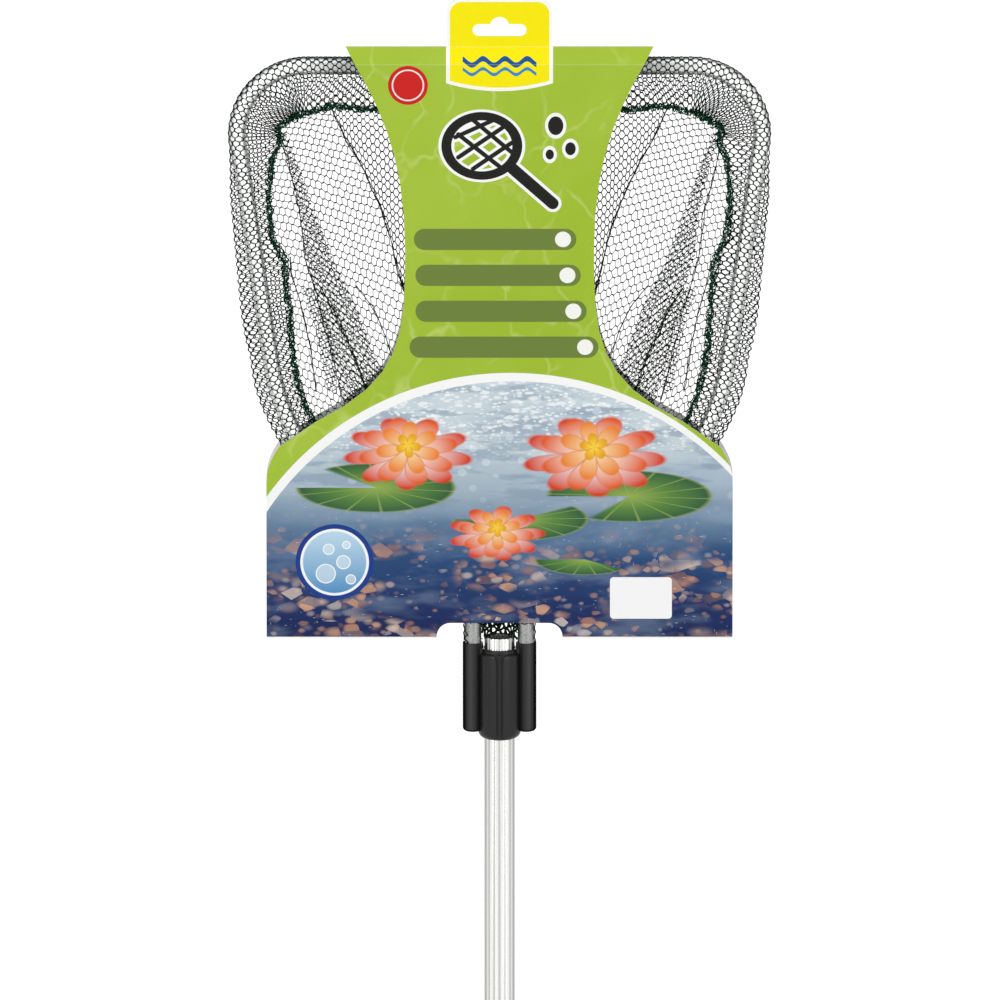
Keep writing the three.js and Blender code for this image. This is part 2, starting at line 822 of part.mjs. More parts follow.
// A soft sleeve with rounded ends and a row of finger grooves
function makeGrip() {
  const outside = [...roundedEdge(gripRadius - gripEdge, gripBottomZ + gripEdge, gripEdge, -90, 0, 3)];
  const pitch = (gripLength - 4 * gripEdge) / gripRings;
  for (let i = 0; i < gripRings; i++) {
    const middle = gripBottomZ + 2 * gripEdge + pitch * (i + 0.5);
    outside.push(
      [gripRadius, middle - pitch / 4],
      [gripRadius - gripRingDepth, middle - pitch / 8],
      [gripRadius - gripRingDepth, middle + pitch / 8],
      [gripRadius, middle + pitch / 4],
    );
  }
  outside.push(...roundedEdge(gripRadius - gripEdge, gripTopZ - gripEdge, gripEdge, 0, 90, 3));
  const profile = [[gripBore, gripBottomZ], ...outside, [gripBore, gripTopZ], [gripBore, gripBottomZ]];
  return turned(profile, 20);
}

// The cap's spigot fills the inner tube's lower end. A cord can go through its cross hole.
function makeEndCap() {
  const spigotRadius = innerTubeRadius - innerTubeWall - clearance;
  const body = turned(
    [
      [0, capBottomZ],
      ...roundedEdge(capRadius - capEdge, capBottomZ + capEdge, capEdge, -90, 0, 3),
      ...roundedEdge(capRadius - capEdge / 2, capTopZ - capEdge / 2, capEdge / 2, 0, 90, 2),
      [spigotRadius, capTopZ],
      [spigotRadius, capTopZ + capSpigot],
      [0, capTopZ + capSpigot],
    ],
    28,
  );
  return cut(body, crossBar(capHoleRadius, 3 * capRadius, (capTopZ + capBottomZ) / 2));
}

// The card's right side from its shoulder down: in to the waist, out to the flare and the hip
function cardSide() {
  const side = new THREE.Path();
  const waistReach = (cardShoulderZ - cardWaistZ) / 2;
  const waistLean = (cardShoulderHalfWidth - cardWaistHalfWidth) / 2;
  const flareReach = (cardWaistZ - cardFlareZ) / 2;
  side.moveTo(cardShoulderHalfWidth, cardShoulderZ);
  side.bezierCurveTo(
    cardShoulderHalfWidth - waistLean,
    cardShoulderZ - waistReach / 2,
    cardWaistHalfWidth,
    cardWaistZ + waistReach,
    cardWaistHalfWidth,
    cardWaistZ,
  );
  side.bezierCurveTo(
    cardWaistHalfWidth,
    cardWaistZ - flareReach,
    cardFlareHalfWidth - flareReach,
    cardFlareZ + flareReach / 2,
    cardFlareHalfWidth,
    cardFlareZ,
  );
  side.lineTo(cardHipHalfWidth, cardHipZ);
  side.quadraticCurveTo(cardHalfWidth, (cardHipZ + cardSideZ) / 2, cardHalfWidth, cardSideZ);
  return side.getPoints(8);
}

// The display card's outline from the front: tab, right side, notched foot, left side
function cardOutline(bottomZ) {
  const tab = new THREE.Path();
  const tabEdge = tabTopZ - tabCorner;
  tab.moveTo(-tabHalfWidth, cardShoulderZ);
  tab.lineTo(-tabHalfWidth, tabEdge);
  tab.absarc(tabCorner - tabHalfWidth, tabEdge, tabCorner, Math.PI, Math.PI / 2, true);
  tab.absarc(tabHalfWidth - tabCorner, tabEdge, tabCorner, Math.PI / 2, 0, true);
  tab.lineTo(tabHalfWidth, cardShoulderZ);
  const right = [...cardSide(), new THREE.Vector2(cardHalfWidth, bottomZ)];
  const notch = new THREE.Path();
  const corner = notchHalfWidth - notchRadius;
  notch.absarc(corner, bottomZ, notchRadius, 0, Math.PI / 2, false);
  notch.absarc(-corner, bottomZ, notchRadius, Math.PI / 2, Math.PI, false);
  const left = right.map((p) => new THREE.Vector2(-p.x, p.y)).reverse();
  return new THREE.Shape([...tab.getPoints(6), ...right, ...notch.getPoints(6), ...left]);
}

// The hanging slot: a long slot with rounded ends and a round bump that centres the hook
function slotTool() {
  const end = slotHeight / 2;
  const middleZ = slotTopZ - end;
  const slot = new THREE.Shape();
  slot.absarc(slotHalfWidth - end, middleZ, end, -Math.PI / 2, Math.PI / 2, false);
  slot.absarc(-slotHalfWidth + end, middleZ, end, Math.PI / 2, (3 * Math.PI) / 2, false);
  const bump = new THREE.Shape();
  bump.absarc(0, -slotBump, slotBump, 0, 2 * Math.PI, false);
  const reach = 2 * cardThickness;
  const clearBelow = block(4 * slotBump, 4 * reach, 2 * slotBump, 0, 0, middleZ - slotBump);
  return join(slab(slot, -reach, reach, 6), cut(slab(bump, -reach, reach, 8), clearBelow));
}

// A bent card panel: its side view, swept across the net's width and trimmed to the outline
function makePanel(sideView, bottomZ) {
  const shape = new THREE.Shape(sideView.map(([y, z]) => new THREE.Vector2(y, z)));
  const width = 2 * cardHalfWidth + 2;
  const swept = new THREE.ExtrudeGeometry(shape, { depth: width, bevelEnabled: false });
  swept.applyMatrix4(new THREE.Matrix4().set(0, 0, 1, -width / 2, 1, 0, 0, 0, 0, 1, 0, 0, 0, 0, 0, 1));
  const outline = slab(cardOutline(bottomZ), cardFrontY - 2, cardBackY + 2);
  return cut(solidOf(swept).intersect(outline), slotTool());
}

// How far down the roof of a panel reaches, from the tab's plane out to the panel's plane
function roofDrop(depth) {
  return depth / Math.tan(THREE.MathUtils.degToRad(cardRoofAngle));
}

function makeCardFront() {
  const inside = clearance / 2;
  const drop = roofDrop(-cardFrontY - inside);
  const top = tabTopZ + 1;
  const foot = cardBottomZ + cardThickness + clearance;
  return makePanel(
    [
      [cardFrontY, foot],
      [cardFrontY, cardShoulderZ - drop],
      [-inside, cardShoulderZ],
      [-inside, top],
      [-inside - cardThickness, top],
      [-inside - cardThickness, cardShoulderZ],
      [cardFrontY - cardThickness, cardShoulderZ - drop],
      [cardFrontY - cardThickness, foot],
    ],
    foot,
  );
}

// The back panel carries the foot, a floor that runs forward to the front panel's crease
function makeCardBack() {
  const inside = clearance / 2;
  const drop = roofDrop(cardBackY - inside);
  const top = tabTopZ + 1;
  const panel = makePanel(
    [
      [cardBackY, cardBottomZ],
      [cardBackY + cardThickness, cardBottomZ],
      [cardBackY + cardThickness, cardShoulderZ - drop],
      [inside + cardThickness, cardShoulderZ],
      [inside + cardThickness, top],
      [inside, top],
      [inside, cardShoulderZ],
      [cardBackY, cardShoulderZ - drop],
    ],
    cardBottomZ,
  );
  const fromY = cardFrontY - cardThickness;
  const width = cardHalfWidth - notchHalfWidth;
  const depth = cardBackY + cardThickness - fromY;
  const foot = (side) => {
    const x = side * (notchHalfWidth + width / 2);
    return block(width, depth, cardThickness, x, fromY + depth / 2, cardBottomZ + cardThickness / 2);
  };
  return join(panel, foot(-1), foot(1));
}

const aluminium = new THREE.MeshStandardMaterial({ color: 0xd9dbdc, roughness: 0.32, metalness: 0.9 });
const hoopMetal = new THREE.MeshStandardMaterial({ color: 0x9fa19f, roughness: 0.4, metalness: 0.85 });
const blackPlastic = new THREE.MeshStandardMaterial({ color: 0x26272a, roughness: 0.5, metalness: 0 });
const softGrip = new THREE.MeshStandardMaterial({ color: 0x1b1b1c, roughness: 0.85, metalness: 0 });
const screwSteel = new THREE.MeshStandardMaterial({ color: 0xb4b6b8, roughness: 0.3, metalness: 1 });
const netting = new THREE.MeshStandardMaterial({ color: 0x1c2320, roughness: 0.9, metalness: 0 });
const seamThread = new THREE.MeshStandardMaterial({ color: 0x12352a, roughness: 0.9, metalness: 0 });
const frontBoard = new THREE.MeshStandardMaterial({ color: 0xa3c037, roughness: 0.4, metalness: 0 });
const backBoard = new THREE.MeshStandardMaterial({ color: 0xc9c6bd, roughness: 0.8, metalness: 0 });

function part(name, solid, material) {
  const mesh = new THREE.Mesh(geometryOf(solid), material);
  mesh.name = name;
  return mesh;
}

// A screw behind the yoke, driven through a surface into the tube whose bore is tubeBore
function screwAt(name, x, z, surface, tubeBore) {
  const headY = surface + screwBossHeight + clearance;
  const mesh = part(name, makeScrew(headY - tubeBore + screwReach), screwSteel);
  mesh.position.set(x, headY, z);
  return mesh;
}

const hoopBore = hoopTubeRadius - hoopTubeWall;
const head = new THREE.Group();
head.add(part("hoop", makeHoop(), hoopMetal));
head.add(part("net_hem", makeHem(), netting));
head.add(part("hem_seam", makeSeam(), seamThread));
head.add(part("net_bag_wall", makeBagWall(), netting));
head.add(part("net_bag_back", makeBagBack(), netting));
head.add(part("yoke", makeYoke(), blackPlastic));
head.add(screwAt("hoop_screw_left", -columnX, hoopScrewZ, columnRadius, hoopBore));
head.add(screwAt("hoop_screw_right", columnX, hoopScrewZ, columnRadius, hoopBore));
head.add(screwAt("handle_screw", 0, handleScrewZ, barrelRadius, outerTubeBore));

const handle = new THREE.Group();
handle.add(part("outer_tube", makeOuterTube(), aluminium));
handle.add(part("collet", makeCollet(), blackPlastic));
const rivet = part("collet_rivet", makeRivet(), screwSteel);
rivet.position.set(0, bushingRadius + clearance, rivetZ);
handle.add(rivet);
handle.add(part("lock_nut", makeLockNut(), blackPlastic));
handle.add(part("inner_tube", makeInnerTube(), aluminium));
handle.add(part("guide_plug", makeGuidePlug(), blackPlastic));
handle.add(part("plug_pin", makePlugPin(), screwSteel));
handle.add(part("grip", makeGrip(), softGrip));
handle.add(part("end_cap", makeEndCap(), blackPlastic));

const card = new THREE.Group();
card.add(part("card_front", makeCardFront(), frontBoard));
card.add(part("card_back", makeCardBack(), backBoard));

const pondNet = new THREE.Group();
pondNet.add(head, handle, card);

export default pondNet;
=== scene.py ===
# %% [markdown]
# # A telescopic pond net on its display card
# The net is sold flat: an aluminium hoop with a black net bag folded behind it, a moulded yoke, a
# fluted handle and a printed card folded round the lot. The construction model gives every piece its
# place and its body. This lesson dresses it: threads, stitching, print, plastic and metal.
# All lengths are metres, X runs across the hoop, Y goes from the printed front to the back, Z is up.

import json
import math

import bmesh
import bpy
import numpy as np
from mathutils import Matrix, Vector


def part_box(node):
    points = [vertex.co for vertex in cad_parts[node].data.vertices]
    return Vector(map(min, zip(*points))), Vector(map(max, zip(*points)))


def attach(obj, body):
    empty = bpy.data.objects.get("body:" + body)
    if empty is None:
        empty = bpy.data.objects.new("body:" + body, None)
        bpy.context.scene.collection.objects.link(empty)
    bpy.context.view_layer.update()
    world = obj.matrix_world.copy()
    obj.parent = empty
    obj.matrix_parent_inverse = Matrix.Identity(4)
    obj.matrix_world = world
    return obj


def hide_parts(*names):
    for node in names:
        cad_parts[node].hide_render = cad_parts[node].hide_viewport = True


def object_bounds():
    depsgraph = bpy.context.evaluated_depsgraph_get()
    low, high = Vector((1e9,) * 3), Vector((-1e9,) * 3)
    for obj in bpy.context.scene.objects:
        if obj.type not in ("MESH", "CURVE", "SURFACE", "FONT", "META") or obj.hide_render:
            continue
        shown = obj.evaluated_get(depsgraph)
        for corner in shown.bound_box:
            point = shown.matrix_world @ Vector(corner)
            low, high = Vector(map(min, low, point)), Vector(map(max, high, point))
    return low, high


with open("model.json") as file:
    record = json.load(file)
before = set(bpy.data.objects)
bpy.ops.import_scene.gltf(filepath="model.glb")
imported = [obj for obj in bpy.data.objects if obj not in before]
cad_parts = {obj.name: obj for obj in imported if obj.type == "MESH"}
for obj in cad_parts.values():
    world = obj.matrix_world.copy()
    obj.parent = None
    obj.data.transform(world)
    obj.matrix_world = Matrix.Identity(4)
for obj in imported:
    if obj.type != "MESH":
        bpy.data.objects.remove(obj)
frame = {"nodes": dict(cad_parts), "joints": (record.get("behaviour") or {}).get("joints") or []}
cad_box = [list(map(float, corner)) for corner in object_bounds()]
MM = 0.001

# %% [markdown]
# ## Camera
# The photograph is taken from straight in front and about 13.5 degrees above, with so long a lens
# that nothing seems to get smaller with distance. A camera far away with a 1.2 m lens gives that.
# The photograph is 679 mm wide at the net, which fixes how far away the camera stands.

# %% Camera
VIEW_WIDTH = 0.679
VIEW_CENTRE = Vector((0.0003, 0.0, -0.3363))
VIEW_ELEVATION = math.radians(13.5)
SENSOR = 36.0
LENS = 1200.0


def in_scene(name, data):
    """A new object in the scene, with its data."""
    made = bpy.data.objects.new(name, data)
    bpy.context.scene.collection.objects.link(made)
    return made


camera_data = bpy.data.cameras.new("camera")
camera_data.sensor_width = SENSOR
camera_data.lens = LENS
camera_data.clip_end = 100
camera = in_scene("camera", camera_data)
away = Vector((0, -math.cos(VIEW_ELEVATION), math.sin(VIEW_ELEVATION)))
camera.location = VIEW_CENTRE + away * (VIEW_WIDTH * LENS / SENSOR)
camera.rotation_euler = (-away).to_track_quat("-Z", "Y").to_euler()
bpy.context.scene.camera = camera
bpy.context.scene.view_settings.view_transform = "Standard"

# %% [markdown]
# ## Nodes
# Materials, the world and node groups are all trees of nodes. `add` makes one node with its settings
# and inputs. `Number` stands for a number that nodes work out and takes the usual signs of
# arithmetic, so that a formula made of nodes reads as a formula.

# %% Helpers for nodes
def put(owner, socket, value):
    """Links a value that nodes work out to a socket, or sets a plain one."""
    value = getattr(value, "socket", value)
    if isinstance(value, bpy.types.NodeSocket):
        getattr(owner, "node_tree", owner).links.new(value, socket)
    elif socket.type == "RGBA" and len(value) == 3:
        socket.default_value = (*value, 1)
    else:
        socket.default_value = value


def add(owner, kind, inputs=None, **settings):
    """A node in a tree, or in the tree of a material or world."""
    node = getattr(owner, "node_tree", owner).nodes.new(kind)
    for name, value in settings.items():
        setattr(node, name, value)
    for socket, value in (inputs or {}).items():
        put(owner, node.inputs[socket], value)
    return node


def first(owner, kind, inputs=None, **settings):
    """The first output of a new node."""
    return add(owner, kind, inputs, **settings).outputs[0]


def maths(owner, operation, *values):
    return Number(owner, first(owner, "ShaderNodeMath", dict(enumerate(values)), operation=operation))


def vector(owner, operation, *values):
    """The outputs of a sum with vectors: a vector, and for a length a number."""
    return add(owner, "ShaderNodeVectorMath", dict(enumerate(values)), operation=operation).outputs


class Number:
    def __init__(self, owner, socket):
        self.owner = owner
        self.socket = socket

    def calc(self, operation, *values):
        return maths(self.owner, operation, self, *values)

    def __add__(self, other):
        return self.calc("ADD", other)

    def __sub__(self, other):
        return self.calc("SUBTRACT", other)

    def __rsub__(self, other):
        return maths(self.owner, "SUBTRACT", other, self)

    def __mul__(self, other):
        return self.calc("MULTIPLY", other)

    def __truediv__(self, other):
        return self.calc("DIVIDE", other)

    def __pow__(self, other):
        return self.calc("POWER", other)

    def __abs__(self):
        return self.calc("ABSOLUTE")


def length(a, b):
    return (a * a + b * b).calc("SQRT")


def mapped(owner, value, low, high, to_low=0.0, to_high=1.0, **settings):
    """A number moved from one range to another."""
    inputs = {"Value": value, "From Min": low, "From Max": high, "To Min": to_low, "To Max": to_high}
    return Number(owner, first(owner, "ShaderNodeMapRange", inputs, **settings))


def split(owner, place):
    """The three numbers of a vector."""
    return [Number(owner, part) for part in add(owner, "ShaderNodeSeparateXYZ", {0: place}).outputs]


def place_of(owner):
    return add(owner, "ShaderNodeTexCoord").outputs["Object"]


def noise(owner, place, scale, detail=2.0, roughness=0.5):
    inputs = {"Vector": place, "Scale": scale, "Detail": detail, "Roughness": roughness}
    return Number(owner, first(owner, "ShaderNodeTexNoise", inputs))


def ramp(owner, value, stops):
    """A colour that goes by a number, from stops of (place, colour)."""
    node = add(owner, "ShaderNodeValToRGB", {"Fac": value})
    elements = node.color_ramp.elements
    while len(elements) < len(stops):
        elements.new(0.5)
    for element, (place, colour) in zip(elements, stops):
        element.position = place
        element.color = (*colour, 1)
    return node.outputs["Color"]


def mixed(owner, share, under, over):
    return add(owner, "ShaderNodeMix", {0: share, 6: under, 7: over}, data_type="RGBA").outputs[2]


def group(name, kind, takes, gives):
    """A node group: its tree, what it takes in and what it gives out. A plain value is a default."""
    tree = bpy.data.node_groups.new(name, kind)
    for way, sockets in (("INPUT", takes), ("OUTPUT", gives)):
        for socket, value in sockets.items():
            plain = {int: "Int", float: "Float"}.get(type(value))
            made = tree.interface.new_socket(socket, in_out=way, socket_type="NodeSocket" + (plain or value))
            if plain:
                made.default_value = value
    return tree, tree.nodes.new("NodeGroupInput").outputs, tree.nodes.new("NodeGroupOutput").inputs


# %% [markdown]
# ## Light and background
# Soft light comes from two tall panels, left and right of the camera, a weaker one overhead, one
# from behind and an even world. The camera sees the world as white, and so do reflections, which is
# how bright metal gets its white body with dark edges in a studio.

# %% Lights and world
LIGHT_TARGET = Vector((0, 0, -0.45))
PANELS = (
    ("key_panel", (-1.3, -1.9, 0.35), 0.9, 1.8, 19.5),
    ("fill_panel", (1.5, -1.8, 0.1), 0.9, 1.8, 13.5),
    ("top_panel", (0, -0.3, 1.5), 1.6, 1.0, 7.5),
    ("back_panel", (0.4, 2.2, 0.3), 1.4, 1.6, 13),
)
for name, place, width, height, watts in PANELS:
    data = bpy.data.lights.new(name, "AREA")
    data.shape = "RECTANGLE"
    data.size = width
    data.size_y = height
    data.energy = watts
    light = in_scene(name, data)
    light.location = place
    light.rotation_euler = (LIGHT_TARGET - Vector(place)).to_track_quat("-Z", "Y").to_euler()

DIM_WORLD = 0.42
world = bpy.data.worlds.new("studio")
bpy.context.scene.world = world
world.use_nodes = True
rays = add(world, "ShaderNodeLightPath").outputs
seen = maths(world, "ADD", rays["Is Glossy Ray"], rays["Is Transmission Ray"]) + rays["Is Camera Ray"]
background = world.node_tree.nodes["Background"].inputs
put(world, background["Color"], (1, 1, 1))
put(world, background["Strength"], mapped(world, seen, 0, 1, DIM_WORLD, 1.0))


# %% [markdown]
# ## Materials
# `finish` makes the Principled shader and sets the values that are the same all over. Each material
# then adds what varies: grain, weave, colour and bump. Fine grain is shared by plastic, board and
# metal, so it is one node group with named inputs: a height, and a change of roughness to go with it.

# %% Helpers for materials
def shade(material, **values):
    """Sets or links inputs of a material's shader, named with underscores."""
    inputs = material.node_tree.nodes["Principled BSDF"].inputs
    for socket, value in values.items():
        put(material, inputs[socket.replace("_", " ")], value)


def finish(name, colour, roughness, **values):
    material = bpy.data.materials.new(name)
    material.use_nodes = True
    shade(material, Base_Color=colour, Roughness=roughness, **values)
    return material


def bumped(material, height, depth, strength=1.0):
    inputs = {"Height": height, "Distance": depth, "Strength": strength}
    shade(material, Normal=first(material, "ShaderNodeBump", inputs))


BROAD_GRAIN = 45.0
GRAIN, given, result = group(
    "surface_grain", "ShaderNodeTree",
    {"Scale": 900.0, "Roughness": 0.4, "Unevenness": 0.1}, {"Height": "Float", "Roughness": "Float"}
)
grain_place = place_of(GRAIN)
put(GRAIN, result["Height"], noise(GRAIN, grain_place, given["Scale"], 3))
uneven = (noise(GRAIN, grain_place, BROAD_GRAIN) - 0.5) * given["Unevenness"]
put(GRAIN, result["Roughness"], uneven + given["Roughness"])


def grained(material, scale, unevenness, depth):
    """Fine grain on a finish, round the roughness that it has."""
    roughness = material.node_tree.nodes["Principled BSDF"].inputs["Roughness"].default_value
    inputs = {"Scale": scale, "Roughness": roughness, "Unevenness": unevenness}
    grain = add(material, "ShaderNodeGroup", inputs, node_tree=GRAIN)
    bumped(material, grain.outputs["Height"], depth, 0.6)
    shade(material, Roughness=grain.outputs["Roughness"])
    return material


# %% [markdown]
# The handle is bright anodised aluminium, drawn along its length, so its grain is stretched along Z.
# It has painted shade in its sixteen flutes, where its colour is a little darker. The hoop's tube is the
# same metal, with painted shade along the middle of its top and on the arms near the yoke, mottled
# there by painted shadows of the net.

# %% Metal
FLUTES = 16.0
BRIGHT = (0.7, 0.705, 0.68)
FLUTE_PAINTED_SHADE = (0.5, 0.505, 0.49)
METAL = {"Metallic": 1.0, "Specular_Tint": (0.02, 0.02, 0.02)}

BRIGHT_TUBE = finish("bright_tube", BRIGHT, 0.26, **METAL)
tube_place = place_of(BRIGHT_TUBE)
drawn_out = first(BRIGHT_TUBE, "ShaderNodeMapping", {"Vector": tube_place, "Scale": (1, 1, 0.01)})
drawn_lines = noise(BRIGHT_TUBE, drawn_out, 2200.0)
bumped(BRIGHT_TUBE, drawn_lines, 0.00002, 0.15)
x, y, z = split(BRIGHT_TUBE, tube_place)
# Painted shade: the colour darkens towards the bottom of each flute
flute_shade_wave = (maths(BRIGHT_TUBE, "ARCTAN2", x, y) * FLUTES).calc("COSINE")
shade(BRIGHT_TUBE, Roughness=mapped(BRIGHT_TUBE, drawn_lines, 0, 1, 0.21, 0.34),
      Base_Color=ramp(BRIGHT_TUBE, flute_shade_wave, [(0.1, BRIGHT), (0.8, FLUTE_PAINTED_SHADE)]))


def near_place(material, centre, close, far):
    """1 near a point of the object and 0 away from it."""
    off = vector(material, "SUBTRACT", place_of(material), centre)[0]
    distance = vector(material, "LENGTH", off)["Value"]
    return mapped(material, distance, far, close, interpolation_type="SMOOTHSTEP")


HOOP_BRIGHT = (0.8, 0.81, 0.8)
HOOP_METAL = grained(finish("hoop_metal", HOOP_BRIGHT, 0.42, **METAL), 1500, 0.1, 0.00002)
# Painted shade along the middle of the top and on the arms near the yoke, mottled by painted net shadows
hoop_painted_shade = near_place(HOOP_METAL, (0, 0, -0.034), 0.09, 0.15).calc(
    "MAXIMUM", near_place(HOOP_METAL, (0, 0, -0.44), 0.03, 0.09))
net_shadow_mottle = noise(HOOP_METAL, place_of(HOOP_METAL), 1300.0)
painted_shade_colour = ramp(HOOP_METAL, net_shadow_mottle, [(0.35, (0.2, 0.21, 0.205)), (0.65, (0.38, 0.385, 0.375))])
shade(HOOP_METAL, Base_Color=mixed(HOOP_METAL, hoop_painted_shade, HOOP_BRIGHT, painted_shade_colour))

SCREW_STEEL = grained(finish("plated_steel", (0.72, 0.73, 0.74), 0.3, Metallic=1.0), 3000, 0.1, 0.00001)

# %% [markdown]
# The mouldings are black with a fine grain. Their gloss is strongest where the surface faces the
# eye and dies away to the sides, as it does on a grained mould, so that round parts read as round.
# The yoke's gloss goes by place too: even on the barrel, and strongest on the columns' outer halves.

# %% Plastic
def moulding(name):
    material = grained(finish(name, (0.008, 0.008, 0.0085), 0.36), 2600, 0.12, 0.00004)
    return material, add(material, "ShaderNodeLayerWeight", {"Blend": 0.5}).outputs["Facing"]


BLACK_PLASTIC, turned = moulding("black_moulding")
shade(BLACK_PLASTIC, Specular_IOR_Level=0.2)
shade(BLACK_PLASTIC, Specular_IOR_Level=mapped(BLACK_PLASTIC, turned, 0.03, 0.6, 0.36, 0.0))

YOKE_PLASTIC, turned = moulding("yoke_moulding")
aside = abs(split(YOKE_PLASTIC, place_of(YOKE_PLASTIC))[0])
YOKE_GLOSS = ((0.0, 0.3), (0.572, 0.3), (0.6, 0.1), (0.624, 0.2), (0.69, 0.34), (0.8, 0.58))
level = ramp(YOKE_PLASTIC, aside * 40.0, [(place, (gloss, gloss, gloss)) for place, gloss in YOKE_GLOSS])
died_away = mapped(YOKE_PLASTIC, aside, 0.0144, 0.0148, 1.6, 0.37)
gloss = mapped(YOKE_PLASTIC, turned, 0.03, died_away, 1.0, 0.0) * level
shade(YOKE_PLASTIC, Specular_IOR_Level=0.25)
shade(YOKE_PLASTIC, Specular_IOR_Level=gloss)

SOFT_GRIP = grained(finish("soft_grip", (0.016, 0.016, 0.017), 0.8), 1800, 0.1, 0.00012)


# %% [markdown]
# ## From numbers to meshes
# Every piece below ends the same way: an object at the origin whose place is in its mesh, riding on a
# body of the frame and standing for the construction pieces it replaces.

# %% Helpers for meshes
def mesh_object(name, points, faces, edges=()):
    mesh = bpy.data.meshes.new(name)
    mesh.from_pydata([tuple(map(float, p)) for p in points], [tuple(e) for e in edges], faces)
    mesh.update()
    return in_scene(name, mesh)


def apply_modifiers(piece):
    bpy.context.view_layer.update()
    graph = bpy.context.evaluated_depsgraph_get()
    mesh = bpy.data.meshes.new_from_object(piece.evaluated_get(graph), depsgraph=graph)
    piece.modifiers.clear()
    old = piece.data
    piece.data = mesh
    bpy.data.meshes.remove(old)
    return piece


def smooth(piece, degrees=35):
    piece.data.shade_smooth()
    piece.data.set_sharp_from_angle(angle=math.radians(degrees))
    return piece


def dress(piece, body, materials=(), stands_for=()):
    """Gives a piece its material and body, and says which construction pieces it replaces."""
    if materials:
        piece.data.materials.clear()
        for material in materials:
            piece.data.materials.append(material)
    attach(piece, body)
    if stands_for:
        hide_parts(*stands_for)
    return piece


def outward(piece):
    work = bmesh.new()
    work.from_mesh(piece.data)
    bmesh.ops.remove_doubles(work, verts=work.verts, dist=1e-7)
    bmesh.ops.dissolve_degenerate(work, edges=work.edges, dist=1e-8)
    bmesh.ops.recalc_face_normals(work, faces=work.faces)
    work.to_mesh(piece.data)
    work.free()
    return piece


def revolve(name, profile, sides):
    """A closed profile of (radius, z) turned round the Z axis."""
    points = []
    faces = []
    count = len(profile)
    for i in range(sides):
        angle = 2 * math.pi * i / sides
        points += [(r * math.cos(angle), r * math.sin(angle), z) for r, z in profile]
        here = i * count
        ahead = (i + 1) % sides * count
        for k in range(count):
            after = (k + 1) % count
            faces.append((here + k, ahead + k, ahead + after, here + after))
    return outward(mesh_object(name, points, faces))


def round_edge(radius, z, edge, first, last, steps=6):
    """Points of a rounded edge of a turned piece, from one direction to another in degrees."""
    turn = [math.radians(first + (last - first) * i / steps) for i in range(steps + 1)]
    return [(radius + edge * math.cos(a), z + edge * math.sin(a)) for a in turn]


# %% [markdown]
# ## The hoop's line
# The hoop is one tube bent at six corners. Its centreline is worked out as the bender would: straight
# runs between corners, and an arc of each corner's own radius. Everything sewn to the hoop follows it.

# %% The hoop's centreline
hoop_low, hoop_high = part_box("hoop")
yoke_low, yoke_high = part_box("yoke")
screw_low, screw_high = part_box("hoop_screw_right")
TUBE_RADIUS = (hoop_high[1] - hoop_low[1]) / 2 / math.cos(math.radians(18))
HOOP_TOP = hoop_high[2] - TUBE_RADIUS
YOKE_TOP = yoke_high[2]
COLUMN_X = (screw_low[0] + screw_high[0]) / 2
SHOULDER_HALF_WIDTH = 0.1847
SHOULDER_BEND = 0.047
KNEE_HALF_WIDTH = 0.1465
KNEE_DROP = 0.2633
KNEE_BEND = 0.155
ANKLE_HEIGHT = 0.027
ANKLE_BEND = 0.030


def bent_line(corners, bends, step):
    """Points along straight runs, with an arc of the given radius at each inner corner."""
    line = [np.array(corners[0])]
    for before, corner, after, bend in zip(corners, corners[1:], corners[2:], bends[1:]):
        corner = np.array(corner)
        back = np.array(before) - corner
        ahead = np.array(after) - corner
        back = back / np.linalg.norm(back)
        ahead = ahead / np.linalg.norm(ahead)
        turn = math.pi - math.acos(np.clip(back @ ahead, -1, 1))
        reach = bend * math.tan(turn / 2)
        middle = back + ahead
        centre = corner + middle / np.linalg.norm(middle) * math.hypot(reach, bend)
        start = corner + back * reach - centre
        end = corner + ahead * reach - centre
        side = np.sign(start[0] * end[1] - start[1] * end[0])
        steps = max(2, math.ceil(math.degrees(turn) / step))
        for k in range(steps + 1):
            angle = side * turn * k / steps
            spin = np.array([[math.cos(angle), -math.sin(angle)], [math.sin(angle), math.cos(angle)]])
            line.append(centre + spin @ start)
    line.append(np.array(corners[-1]))
    return np.array(line)


left_corners = [
    (-COLUMN_X, hoop_low[2]),
    (-COLUMN_X, YOKE_TOP + ANKLE_HEIGHT),
    (-KNEE_HALF_WIDTH, HOOP_TOP - KNEE_DROP),
    (-SHOULDER_HALF_WIDTH, HOOP_TOP),
]
right_corners = [(-x, z) for x, z in reversed(left_corners)]
left_bends = [0, ANKLE_BEND, KNEE_BEND, SHOULDER_BEND]
HOOP_LINE = bent_line(left_corners + right_corners, left_bends + left_bends[::-1], 1.5)

run = np.hypot(*np.diff(HOOP_LINE, axis=0).T)
HOOP_AT = np.concatenate([[0], np.cumsum(run)])
HOOP_AT -= HOOP_AT[-1] / 2
keep = np.concatenate([[True], run > 1e-9])
HOOP_LINE = HOOP_LINE[keep]
HOOP_AT = HOOP_AT[keep]
edge_run = np.diff(HOOP_LINE, axis=0)
edge_run /= np.linalg.norm(edge_run, axis=1)[:, None]
tangent = np.vstack([edge_run[:1], edge_run[:-1] + edge_run[1:], edge_run[-1:]])
tangent /= np.linalg.norm(tangent, axis=1)[:, None]
HOOP_INWARD = np.stack([tangent[:, 1], -tangent[:, 0]], axis=1)


